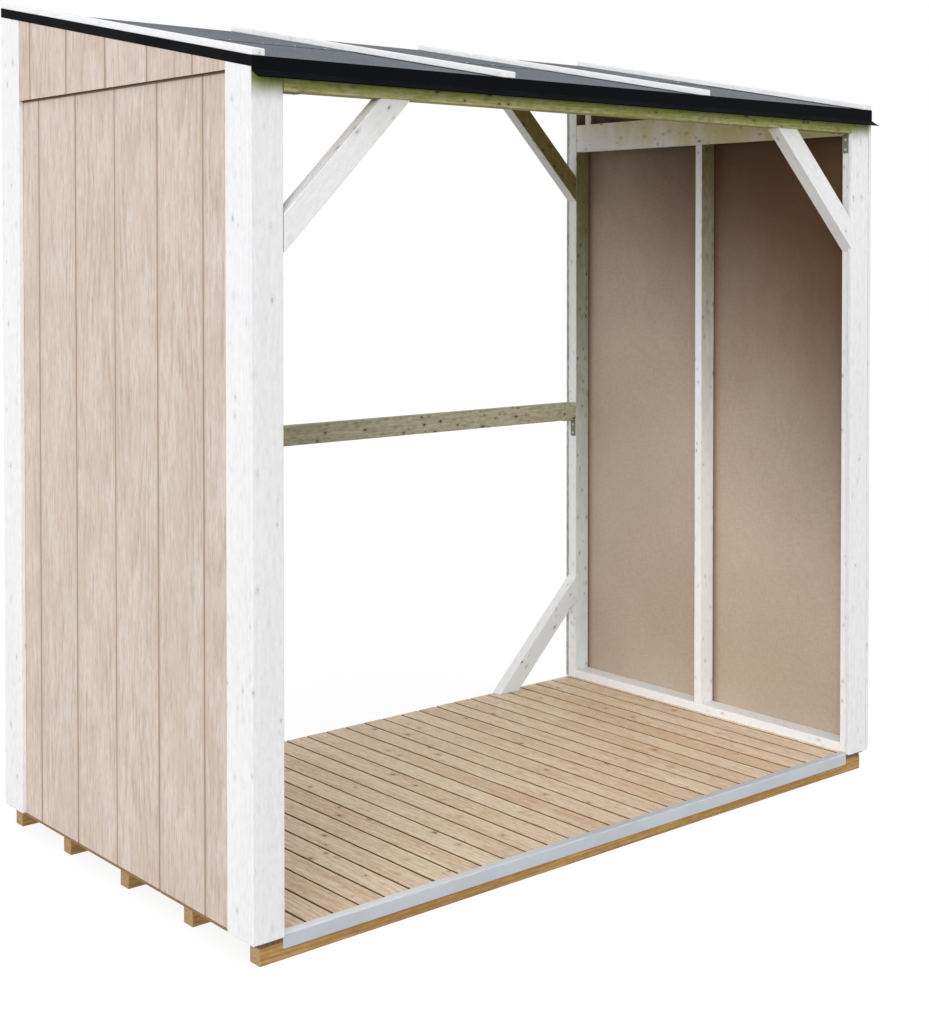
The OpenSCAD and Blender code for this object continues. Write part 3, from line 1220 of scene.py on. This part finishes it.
def new_piece(
    name: str, shape: BMesh, finishes: Sequence[Finish], slot: Slot, nodes: Iterable[str] = ()
) -> Object:
    """Turns a mesh into a dressed piece that rides on the store.

    Args:
        name: The piece's name.
        shape: Its mesh in the shared frame, which is freed.
        finishes: Its materials, in the order of the faces' indices.
        slot: The record's slot, which is only written to the log.
        nodes: The CAD nodes that it stands for.

    Returns:
        The new object at the origin.
    """
    mesh = bpy.data.meshes.new(name)
    shape.normal_update()
    shape.to_mesh(mesh)
    shape.free()
    for finish in finishes:
        mesh.materials.append(finish.material())
    piece = bpy.data.objects.new(name, mesh)
    bpy.context.scene.collection.objects.link(piece)
    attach(piece, BODY)
    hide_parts(*nodes)
    LOG.info("%s: %d faces, %s", name, len(mesh.polygons), slot.value)
    return piece


@dataclass(frozen=True)
class Timber:
    """A planed timber cut from a CAD node, with rounded arrises and its own grain."""

    node: str
    run: Run
    finish: TimberFinish = WHITE_PAINT
    slot: Slot = Slot.WHITE_TIMBER
    arris: float = 0.0016
    second: Finish | None = None
    second_toward: tuple[float, ...] = ()

    def build(self) -> Object:
        """Builds the timber in the node's place, with its second finish on the faces that look along X.

        Returns:
            The planed timber.
        """
        shape = merged_copy(self.node)
        finishes = (self.finish,) if self.second is None else (self.finish, self.second)
        for face in shape.faces:
            if any(face.normal.x * way > FACING for way in self.second_toward):
                face.material_index = 1
        round_arrises(shape, self.arris)
        stamp_grain(shape, self.run, self.node)
        return new_piece(f"{self.node}_planed", shape, finishes, self.slot, (self.node,))


@dataclass(frozen=True)
class RoofPlane:
    """The plane of the roof's underside, read from the deck."""

    front: float
    level: float
    slope: float

    @classmethod
    def of_deck(cls) -> "RoofPlane":
        """Reads the plane from the deck's lowest corners at its front and back.

        Returns:
            The plane.
        """
        low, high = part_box("roof_deck")
        corners = [v.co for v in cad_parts["roof_deck"].data.vertices]
        front = min(c.z for c in corners if c.y < low.y + MERGE)
        back = min(c.z for c in corners if c.y > high.y - MERGE)
        return cls(low.y, front, (back - front) / (high.y - low.y))

    def height(self, y: float, rise: float = 0.0) -> float:
        """The height of a point that rises above the underside at a distance back."""
        return self.level + self.slope * (y - self.front) + rise

    def rise_of(self, node: str) -> tuple[float, float]:
        """The lowest and highest rise of a CAD node above the underside."""
        rises = [v.co.z - self.height(v.co.y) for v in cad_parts[node].data.vertices]
        return min(rises), max(rises)

    def tilt(self, shape: BMesh) -> None:
        """Shears a mesh that was built level, with rises for heights, up to the roof.

        Args:
            shape: The mesh to shear.
        """
        lean = Matrix.Identity(4)
        lean[2][1] = self.slope
        lean[2][3] = self.level - self.slope * self.front
        bmesh.ops.transform(shape, matrix=lean, verts=shape.verts)


# ---- base ----


@dataclass
class Base:
    """Bearers, boarded floor and the metal angle along the floor's front edge."""

    # The floor boards' spacing, the gap between two, and how far one may lie below the others
    pitch: float = 0.0744
    gap: float = 0.0043
    dip: float = 0.0004
    arris: float = 0.002
    sill_sheet: float = 0.0016
    sill_bend: float = 0.0025

    def build(self) -> None:
        """Builds the base from the ground up."""
        Timber(
            "bearers", Run.ALONG_X, BEARER_TIMBER, Slot.BEARERS,
            second=BEARER_END, second_toward=(-1.0, 1.0),
        ).build()
        self.floor()
        self.sill()

    def floor(self) -> Object:
        """Lays the floor boards from the right end, with a ripped one at the left.

        Returns:
            The floor boards.
        """
        dice = random.Random("floor")
        low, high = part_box("floor_deck")
        shape = bmesh.new()
        right = high.x
        while right - low.x > 2.0 * self.gap:
            left = max(right - self.pitch, low.x - self.gap / 2.0)
            top = high.z - dice.uniform(0.0, self.dip)
            plank(
                shape,
                Vector((left + self.gap / 2.0, low.y, low.z)),
                Vector((right - self.gap / 2.0, high.y, top)),
            )
            right = left
        # The boards' sides and front ends take the darker pine, which is painted shade for the gaps between
        # them
        for face in shape.faces:
            hidden = abs(face.normal.x) > FACING or face.normal.y < -FACING
            face.material_index = 1 if hidden else 0
        round_arrises(shape, self.arris)
        stamp_grain(shape, Run.ALONG_Y, "floor boards", pith=0.03)
        return new_piece("floor_boards", shape, (FLOOR_PINE, FLOOR_GAP_SHADE), Slot.FLOOR, ("floor_deck",))

    def sill(self) -> Object:
        """Folds the sill angle from one sheet with a rounded bend.

        Returns:
            The folded sill angle.
        """
        low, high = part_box("sill_angle")
        shape = folded_sheet(
            [(low.y, low.z), (low.y, high.z), (high.y, high.z)],
            (low.x, high.x), self.sill_sheet, self.sill_bend,
        )
        return new_piece("sill_angle_folded", shape, (SILL_COAT,), Slot.SILL, ("sill_angle",))


# ---- end walls ----


@dataclass
class EndWall:
    """One end wall: its frame, its grooved siding and its corner boards."""

    side: Side
    # The grooves' spacing, and each panel's first one, measured back from the corner boards' front
    groove_pitch: float = 0.203
    wall_groove: float = 0.218
    gable_groove: float = 0.243
    # Half a groove's width, its depth, and how far to each side it shades the plank
    groove_half: float = 0.0036
    groove_depth: float = 0.0032
    groove_band: float = 0.013
    # How far the painted shade beside an upright reaches on the back, how wide the painted shade line under
    # the gable's lap is, and how wide the darker line along the foot is
    post_band: float = 0.07
    lap_line: float = 0.005
    foot_line: float = 0.007
    # How far a face looks inwards on the back, outwards on the front, and outwards on the front's flats
    back_share: float = 0.7
    front_share: float = 0.1
    flat_share: float = 0.98
    # The length that the planks' grain is taken from, its sideways shift, and how deep its pith lies
    sheet_run: float = 30.0
    plank_sway: float = 0.06
    pith_depth: float = 0.04

    def build(self) -> None:
        """Builds the wall from its frame outwards."""
        label = self.side.label
        inward = (-self.side.value,)
        Timber(
            f"{label}_rear_post", Run.UPRIGHT, REAR_PAINT, second=INNER_PAINT, second_toward=inward
        ).build()
        for part in ("front_stud", "mid_stud", "cripple_stud"):
            Timber(f"{label}_{part}", Run.UPRIGHT, INNER_PAINT).build()
        Timber(f"{label}_bottom_plate", Run.ALONG_Y, INNER_PAINT).build()
        Timber(f"{label}_top_rail", Run.ALONG_Y, RAIL_PAINT).build()
        self.siding("wall", self.wall_groove)
        self.siding("gable", self.gable_groove)
        Timber(f"front_{label}_board", Run.UPRIGHT, FRONT_BOARD_PAINT).build()
        # The rear board's inner edge takes grey paint, which is painted shade in the joint
        Timber(f"rear_{label}_board", Run.UPRIGHT, second=JOINT_SHADE_EDGE, second_toward=inward).build()
        for node in (f"{label}_front_side_board", f"{label}_rear_side_board"):
            Timber(node, Run.UPRIGHT, second=HARDBOARD, second_toward=inward).build()

    def siding(self, part: str, first_groove: float) -> Object:
        """Cuts V grooves into a siding panel and gives each plank between them its own grain.

        Args:
            part: The word for the panel in its node's name.
            first_groove: The first groove's distance from the front of the corner boards.

        Returns:
            The grooved panel.
        """
        node = f"{self.side.label}_{part}_panel"
        low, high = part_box(node)
        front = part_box("front_left_board")[0].y
        outer = high.x if self.side is Side.RIGHT else low.x
        shape = merged_copy(node)
        # Cuts beside each upright, where painted shade on the back fades out across a band
        for edge in self.post_edges():
            for gap in (-self.post_band, 0.0, self.post_band):
                self.cut(shape, Vector((0.0, edge + gap, 0.0)), Vector((0.0, 1.0, 0.0)))
        grooves = []
        place = front + first_groove
        while place < high.y - self.groove_half:
            if place > low.y + self.groove_half:
                grooves.append(place)
            place += self.groove_pitch
        for groove in grooves:
            for gap in (-self.groove_band, -self.groove_half, 0.0, self.groove_half, self.groove_band):
                self.cut(shape, Vector((0.0, groove + gap, 0.0)), Vector((0.0, 1.0, 0.0)))
            bottom = [
                v for v in shape.verts if abs(v.co.y - groove) < MERGE and abs(v.co.x - outer) < MERGE
            ]
            bmesh.ops.translate(shape, vec=(-self.side.value * self.groove_depth, 0.0, 0.0), verts=bottom)
        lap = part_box(f"{self.side.label}_gable_panel")[0].z
        # Cuts for the painted shade line under the lap and the darker line along the foot
        if part == "wall":
            for height in (low.z + self.foot_line, lap - self.lap_line, lap):
                self.cut(shape, Vector((0.0, 0.0, height)), Vector((0.0, 0.0, 1.0)))
        shape.normal_update()
        self.mark_planks(shape, node, grooves, lap)
        return new_piece(f"{node}_grooved", shape, (SIDING, HARDBOARD, RAW_EDGE), Slot.SIDING, (node,))

    def post_edges(self) -> list[float]:
        """Finds both edges of each of the wall's uprights.

        Returns:
            Their distances back.
        """
        edges = []
        for part in ("front_stud", "mid_stud", "rear_post"):
            low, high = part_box(f"{self.side.label}_{part}")
            edges += [low.y, high.y]
        return edges

    def cut(self, shape: BMesh, place: Vector, facing: Vector) -> None:
        """Cuts a mesh's faces along a plane without parting them."""
        geom = shape.verts[:] + shape.edges[:] + shape.faces[:]
        bmesh.ops.bisect_plane(shape, geom=geom, plane_co=place, plane_no=facing)

    def mark_planks(self, shape: BMesh, node: str, grooves: Sequence[float], lap: float) -> None:
        """Sets the grain, tone, groove and lap marks and finish of every face of a panel.

        Args:
            shape: The panel's mesh.
            node: Its CAD node, which fixes the random choices.
            grooves: The grooves' distances back.
            lap: The height of the gable panel's lower edge.
        """
        grain = shape.loops.layers.float_vector.new("grain")
        tone = shape.faces.layers.float.new("tone")
        groove_mark = shape.faces.layers.float.new("groove")
        lap_mark = shape.faces.layers.float.new("lap")
        beside = shape.loops.layers.float.new("beside")
        dice = random.Random(node)
        shifts = [dice.uniform(0.0, self.sheet_run) for _ in range(len(grooves) + 1)]
        offsets = [dice.uniform(-self.plank_sway, self.plank_sway) for _ in shifts]
        tones = [dice.random() for _ in shifts]
        edges = self.post_edges()
        foot = min(vert.co.z for vert in shape.verts) + self.foot_line
        for face in shape.faces:
            middle = face.calc_center_median()
            index = sum(1 for groove in grooves if groove < middle.y)
            outward = face.normal.x * self.side.value
            face[tone] = tones[index]
            face[groove_mark] = 1.0 if self.front_share < outward < self.flat_share else 0.0
            # The lap mark lays painted shade under the gable's lap, and a darker line along the foot
            raw = abs(middle.z - lap) < self.lap_line or middle.z < foot
            face[lap_mark] = 1.0 if raw and outward > self.front_share else 0.0
            if outward < -self.back_share:
                face.material_index = 1
            elif outward < self.front_share:
                face.material_index = 2
            centre = grooves[0] + (index - 0.5) * self.groove_pitch
            for corner in face.loops:
                spot = corner.vert.co
                corner[grain] = (spot.z + shifts[index], spot.y - centre + offsets[index], self.pith_depth)
                # The beside mark sets where painted shade falls: next to each groove on the front, and next
                # to each upright on the back
                if outward > self.front_share:
                    near = min(abs(spot.y - groove) for groove in grooves) < self.groove_half + MERGE
                else:
                    near = min(abs(spot.y - edge) for edge in edges) < MERGE
                corner[beside] = 1.0 if near else 0.0


# ---- front and rear frames ----


@dataclass
class BracedFrames:
    """The header and braces at the front, and the beam, rail and braces at the back."""

    def build(self) -> None:
        """Builds the two frames."""
        Timber("front_header", Run.ALONG_X, GREEN_SHADED_HEADER, Slot.WEATHERED).build()
        for node in ("rear_beam", "rear_mid_rail"):
            Timber(node, Run.ALONG_X, GREEN_SHADED_TIMBER, Slot.WEATHERED).build()
        Timber("front_left_brace", Run.RISING_RIGHT, BRACE_PAINT).build()
        Timber("front_right_brace", Run.RISING_LEFT, BRACE_PAINT).build()
        Timber("rear_upper_left_brace", Run.RISING_RIGHT, UPPER_BRACE_PAINT, Slot.WEATHERED).build()
        Timber("rear_upper_right_brace", Run.RISING_LEFT, UPPER_BRACE_PAINT, Slot.WEATHERED).build()
        Timber("rear_lower_left_brace", Run.RISING_LEFT, LOWER_BRACE_PAINT).build()
        Timber("rear_lower_right_brace", Run.RISING_RIGHT, LOWER_BRACE_PAINT).build()


# ---- roof ----


@dataclass
class PentRoof:
    """Rafters, boarding, lapped felt, folded trims and the white battens on top."""

    board_width: float = 0.102
    board_gap: float = 0.002
    felt_sheet: float = 0.002
    felt_lap: float = 0.075
    nail_pitch: float = 0.1
    nail_radius: float = 0.004
    nail_rise: float = 0.0008
    # The screws in a batten, with the first one's place and their spacing as shares of its length
    screw_count: int = 4
    screw_first: float = 0.08
    screw_step: float = 0.28
    # How much of a screw's head stands out of the timber
    screw_proud: float = 0.4
    lip_hem: float = 0.009
    trim_sheet: float = 0.0012
    trim_bend: float = 0.002
    trim_arris: float = 0.00036
    felt_arris: float = 0.0006
    plane: RoofPlane = field(default_factory=RoofPlane.of_deck)

    def build(self) -> None:
        """Builds the roof from the rafters up."""
        Timber("rafters", Run.UP_THE_ROOF, GREEN_SHADED_TIMBER, Slot.WEATHERED).build()
        self.boarding()
        self.felt()
        self.flashing()
        self.edge_trims()
        Timber("roof_battens", Run.UP_THE_ROOF, arris=0.0022).build()
        self.batten_screws()

    def boarding(self) -> Object:
        """Lays the roof boards across the rafters.

        Returns:
            The roof boards.
        """
        low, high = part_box("roof_deck")
        base, top = self.plane.rise_of("roof_deck")
        shape = bmesh.new()
        count = round((high.y - low.y) / self.board_width)
        width = (high.y - low.y) / count
        for index in range(count):
            start = low.y + index * width
            plank(
                shape,
                Vector((low.x, start + self.board_gap / 2.0, base)),
                Vector((high.x, start + width - self.board_gap / 2.0, top)),
            )
        round_arrises(shape, self.board_gap)
        self.plane.tilt(shape)
        stamp_grain(shape, Run.ALONG_X, "roof boards")
        return new_piece("roof_boarding", shape, (ROOF_BOARDING,), Slot.ROOF_BOARDS, ("roof_deck",))

    def felt(self) -> None:
        """Lays two courses of felt, the upper lapped over the lower and nailed along the lap."""
        low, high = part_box("roof_felt")
        base, top = self.plane.rise_of("roof_felt")
        lap = (low.y + high.y) / 2.0
        shape = bmesh.new()
        for start, end, rise in ((low.y, lap + self.felt_lap, base), (lap, high.y, top - self.felt_sheet)):
            plank(shape, Vector((low.x, start, rise)), Vector((high.x, end, rise + self.felt_sheet)))
        round_arrises(shape, self.felt_arris, 1)
        self.plane.tilt(shape)
        new_piece("roof_felt_courses", shape, (FELT,), Slot.FELT, ("roof_felt",))
        up = Vector((0.0, -self.plane.slope, 1.0)).normalized()
        nails = bmesh.new()
        row = lap + self.felt_lap / 3.0
        count = round((high.x - low.x) / self.nail_pitch)
        for index in range(count):
            x = low.x + (index + 0.5) * (high.x - low.x) / count
            seat = Vector((x, row, self.plane.height(row, top)))
            screw_head(nails, seat, up, self.nail_radius, self.nail_rise)
        new_piece("felt_nails", nails, (SCREW_STEEL,), Slot.FELT)

    def flashing(self) -> Object:
        """Folds the eave flashing: an upright face, a drip lip and a hem under the lip.

        Returns:
            The folded flashing.
        """
        low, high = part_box("eave_flashing")
        points = [v.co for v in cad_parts["eave_flashing"].data.vertices]
        corners = {(round(point.y, 5), round(point.z, 5)) for point in points}
        face = min(y for y, z in corners if z > high.z - MERGE)
        foot = min(z for y, z in corners if abs(y - face) < MERGE)
        drop = min(z for y, z in corners if y < low.y + 2.0 * MERGE)
        lip_slope = (foot - drop) / (face - low.y)
        shape = folded_sheet(
            [
                (low.y + self.lip_hem, drop + self.lip_hem * lip_slope - self.trim_bend),
                (low.y, drop),
                (face, foot),
                (face, high.z),
            ],
            (low.x, high.x), self.trim_sheet, self.trim_bend * 0.4,
        )
        return new_piece("eave_flashing_folded", shape, (BLACK_COAT,), Slot.BLACK_TRIM, ("eave_flashing",))

    def edge_trims(self) -> None:
        """Cuts the trims at both verges and the back."""
        for node in ("verge_trims", "rear_trim"):
            shape = merged_copy(node)
            round_arrises(shape, self.trim_arris, 1)
            new_piece(f"{node}_cut", shape, (BLACK_COAT,), Slot.BLACK_TRIM, (node,))

    def batten_screws(self) -> Object:
        """Puts a row of screws into each batten's top.

        Returns:
            The screws.
        """
        shape = bmesh.new()
        low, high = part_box("roof_battens")
        top = self.plane.rise_of("roof_battens")[1]
        up = Vector((0.0, -self.plane.slope, 1.0)).normalized()
        battens = merged_copy("roof_battens")
        parts = loose_parts(battens)
        middles = [sum(face.calc_center_median().x for face in part) / len(part) for part in parts]
        battens.free()
        for x in middles:
            for step in range(self.screw_count):
                y = low.y + (high.y - low.y) * (self.screw_first + self.screw_step * step)
                seat = Vector((x, y, self.plane.height(y, top - self.nail_rise * (1.0 - self.screw_proud))))
                screw_head(shape, seat, up, self.nail_radius, self.nail_rise)
        return new_piece("batten_screws", shape, (SCREW_STEEL,), Slot.WHITE_TIMBER)


# ---- fixings ----


@dataclass
class AngleBrackets:
    """Zinc plated angle brackets under the header and the middle rail, each with its screws."""

    sheet: float = 0.002
    corner: float = 0.004
    bend: float = 0.003
    screw_radius: float = 0.0042
    screw_rise: float = 0.0018
    # Where the screws are, as shares of a plate's length from the fold
    screw_places: tuple[float, ...] = (0.3, 0.8)

    def build(self) -> None:
        """Folds each bracket in its solid's place and screws it down."""
        solids = merged_copy("angle_brackets")
        plates, screws = bmesh.new(), bmesh.new()
        for part in loose_parts(solids):
            spots = [v.co.copy() for face in part for v in face.verts]
            low = Vector(map(min, zip(*spots)))
            high = Vector(map(max, zip(*spots)))
            self.one(plates, screws, low, high)
        solids.free()
        new_piece("angle_brackets_folded", plates, (ZINC_PLATE,), Slot.BRACKETS, ("angle_brackets",))
        new_piece("bracket_screws", screws, (SCREW_STEEL,), Slot.BRACKETS)

    def one(self, plates: BMesh, screws: BMesh, low: Vector, high: Vector) -> None:
        """Adds one bracket that fills a solid's box.

        Args:
            plates: The mesh of all the plates.
            screws: The mesh of all the screws.
            low: The box's lowest corner.
            high: The box's highest corner.
        """
        inward = -1.0 if low.x > 0.0 else 1.0
        post = high.x if inward < 0.0 else low.x
        tip = low.x if inward < 0.0 else high.x
        shape = bmesh.new()
        line = [shape.verts.new((x, low.y, z)) for x, z in ((post, low.z), (post, high.z), (tip, high.z))]
        edges = [shape.edges.new(pair) for pair in zip(line, line[1:])]
        made = bmesh.ops.extrude_edge_only(shape, edges=edges)["geom"]
        far = [v for v in made if isinstance(v, BMVert)]
        bmesh.ops.translate(shape, vec=(0.0, high.y - low.y, 0.0), verts=far)
        ends = [v for v in shape.verts if v.co.z < low.z + MERGE or abs(v.co.x - tip) < MERGE]
        ends = [v for v in ends if not (abs(v.co.x - post) < MERGE and v.co.z > high.z - MERGE)]
        bmesh.ops.bevel(
            shape, geom=ends, offset=self.corner, offset_type="OFFSET", affect="VERTICES",
            segments=BEND_STEPS, profile=0.5, material=-1,
        )
        folds = [e for e in shape.edges if len(e.link_faces) == 2]
        bmesh.ops.bevel(
            shape, geom=folds, offset=self.bend, offset_type="OFFSET", affect="EDGES",
            segments=BEND_STEPS, profile=0.5, material=-1,
        )
        bmesh.ops.recalc_face_normals(shape, faces=shape.faces)
        if any(f.normal.z < -FACING for f in shape.faces):
            bmesh.ops.reverse_faces(shape, faces=shape.faces)
        bmesh.ops.solidify(shape, geom=shape.faces[:], thickness=self.sheet)
        bmesh.ops.recalc_face_normals(shape, faces=shape.faces)
        spare = bpy.data.meshes.new("bracket")
        shape.to_mesh(spare)
        shape.free()
        plates.from_mesh(spare)
        bpy.data.meshes.remove(spare)
        middle = (low.y + high.y) / 2.0
        side, down = Vector((inward, 0.0, 0.0)), Vector((0.0, 0.0, -1.0))
        for share in self.screw_places:
            on_post = Vector((post + inward * self.sheet, middle, high.z + (low.z - high.z) * share))
            on_beam = Vector((post + (tip - post) * share, middle, high.z - self.sheet))
            screw_head(screws, on_post, side, self.screw_radius, self.screw_rise)
            screw_head(screws, on_beam, down, self.screw_radius, self.screw_rise)


# ---- studio ----


@dataclass(frozen=True)
class Lamp:
    """A broad, far lamp.

    It has the direction from the store to the lamp, the light that it gives a face turned to it,
    and its width as an angle in degrees.
    """

    name: str
    toward: tuple[float, float, float]
    strength: float
    spread: float

    def build(self) -> None:
        """Hangs the lamp."""
        data = bpy.data.lights.new(self.name, "SUN")
        data.energy = self.strength
        data.angle = math.radians(self.spread)
        lamp = bpy.data.objects.new(self.name, data)
        lamp.rotation_euler = Vector(self.toward).to_track_quat("Z", "Y").to_euler()
        bpy.context.scene.collection.objects.link(lamp)


@dataclass
class Studio:
    """Camera, floor, surroundings and lamps, with angles in degrees and the lens in millimetres."""

    image: tuple[int, int] = (929, 1024)
    sensor: float = 36.0
    eye: tuple[float, float, float] = (-3.0591, -3.6054, 1.5647)
    heading: float = -40.396
    pitch: float = 1.2
    lens: float = 58.38
    shift: float = -0.2227
    floor_size: float = 60.0
    # The floor's own colour where it is seen, and the glow that lifts it to white outside the shadow
    floor_white: float = 0.2
    floor_glow: float = 0.86
    # The light that the store gets from the surroundings, and the floor's colour as it gives some back
    ambient: Colour = (0.64, 0.645, 0.655, 1.0)
    bounce: Colour = (0.43, 0.435, 0.44, 1.0)
    lamps: tuple[Lamp, ...] = (
        Lamp("left front lamp", (-0.86, -0.56, 0.27), 1.57, 40.0),
        Lamp("left back lamp", (-0.85, 0.45, 0.35), 0.36, 50.0),
        Lamp("high front lamp", (0.0, -0.6, 0.75), 0.7, 50.0),
    )

    def build(self) -> None:
        """Sets up the whole studio."""
        self.camera()
        self.floor()
        self.surroundings()
        for lamp in self.lamps:
            lamp.build()
        bpy.context.scene.view_settings.view_transform = "Standard"

    def camera(self) -> None:
        """Stands the camera at eye height, off the front left corner."""
        data = bpy.data.cameras.new("camera")
        data.sensor_fit = "VERTICAL"
        data.sensor_height = self.sensor
        data.sensor_width = self.sensor * self.image[0] / self.image[1]
        data.lens = self.lens
        data.shift_y = self.shift
        camera = bpy.data.objects.new("camera", data)
        camera.location = self.eye
        camera.rotation_euler = (math.radians(90.0 - self.pitch), 0.0, math.radians(self.heading))
        bpy.context.scene.collection.objects.link(camera)
        bpy.context.scene.camera = camera

    def floor(self) -> None:
        """Lays a white floor that keeps a faint shadow."""
        shape = bmesh.new()
        bmesh.ops.create_grid(shape, x_segments=1, y_segments=1, size=self.floor_size / 2.0)
        mesh = bpy.data.meshes.new("studio_floor")
        shape.to_mesh(mesh)
        shape.free()
        floor = bpy.data.objects.new("studio_floor", mesh)
        bpy.context.scene.collection.objects.link(floor)
        made = bpy.data.materials.new("studio floor")
        made.use_nodes = True
        board = Board(made.node_tree)
        made.node_tree.nodes.remove(made.node_tree.nodes["Principled BSDF"])
        seen = self.seen(board)
        matt = board.node("ShaderNodeBsdfDiffuse")
        board.feed(matt.inputs["Color"], board.blend(seen, self.bounce, (self.floor_white,) * 3 + (1.0,)))
        glow = board.node("ShaderNodeEmission")
        board.feed(glow.inputs["Strength"], board.math("MULTIPLY", seen, self.floor_glow))
        both = board.node("ShaderNodeAddShader")
        board.feed(both.inputs[0], matt.outputs[0])
        board.feed(both.inputs[1], glow.outputs[0])
        board.feed(made.node_tree.nodes["Material Output"].inputs[0], both.outputs[0])
        mesh.materials.append(made)

    def seen(self, board: Board) -> NodeSocket:
        """Tells rays that show the surroundings themselves from rays that gather light.

        Args:
            board: The board of the tree that asks.

        Returns:
            1 for camera, mirrored and transmitted rays, and 0 for the others.
        """
        path = board.node("ShaderNodeLightPath").outputs
        mirrored = board.math("MAXIMUM", path["Is Glossy Ray"], path["Is Transmission Ray"])
        return board.math("MAXIMUM", path["Is Camera Ray"], mirrored)

    def surroundings(self) -> None:
        """Makes the surroundings plain white to look at and an even light for the store."""
        world = bpy.data.worlds.new("surroundings")
        world.use_nodes = True
        bpy.context.scene.world = world
        board = Board(world.node_tree)
        sky = world.node_tree.nodes["Background"]
        white = (1.0, 1.0, 1.0, 1.0)
        board.feed(sky.inputs["Color"], board.blend(self.seen(board), self.ambient, white))


def main() -> None:
    """Builds the store and its studio."""
    logging.basicConfig(level=logging.INFO, format="%(name)s: %(message)s")
    parts = (
        Studio(), Base(), EndWall(Side.LEFT), EndWall(Side.RIGHT),
        BracedFrames(), PentRoof(), AngleBrackets(),
    )
    for part in parts:
        LOG.info("building %s", type(part).__name__)
        part.build()


if __name__ == "__main__":
    main()
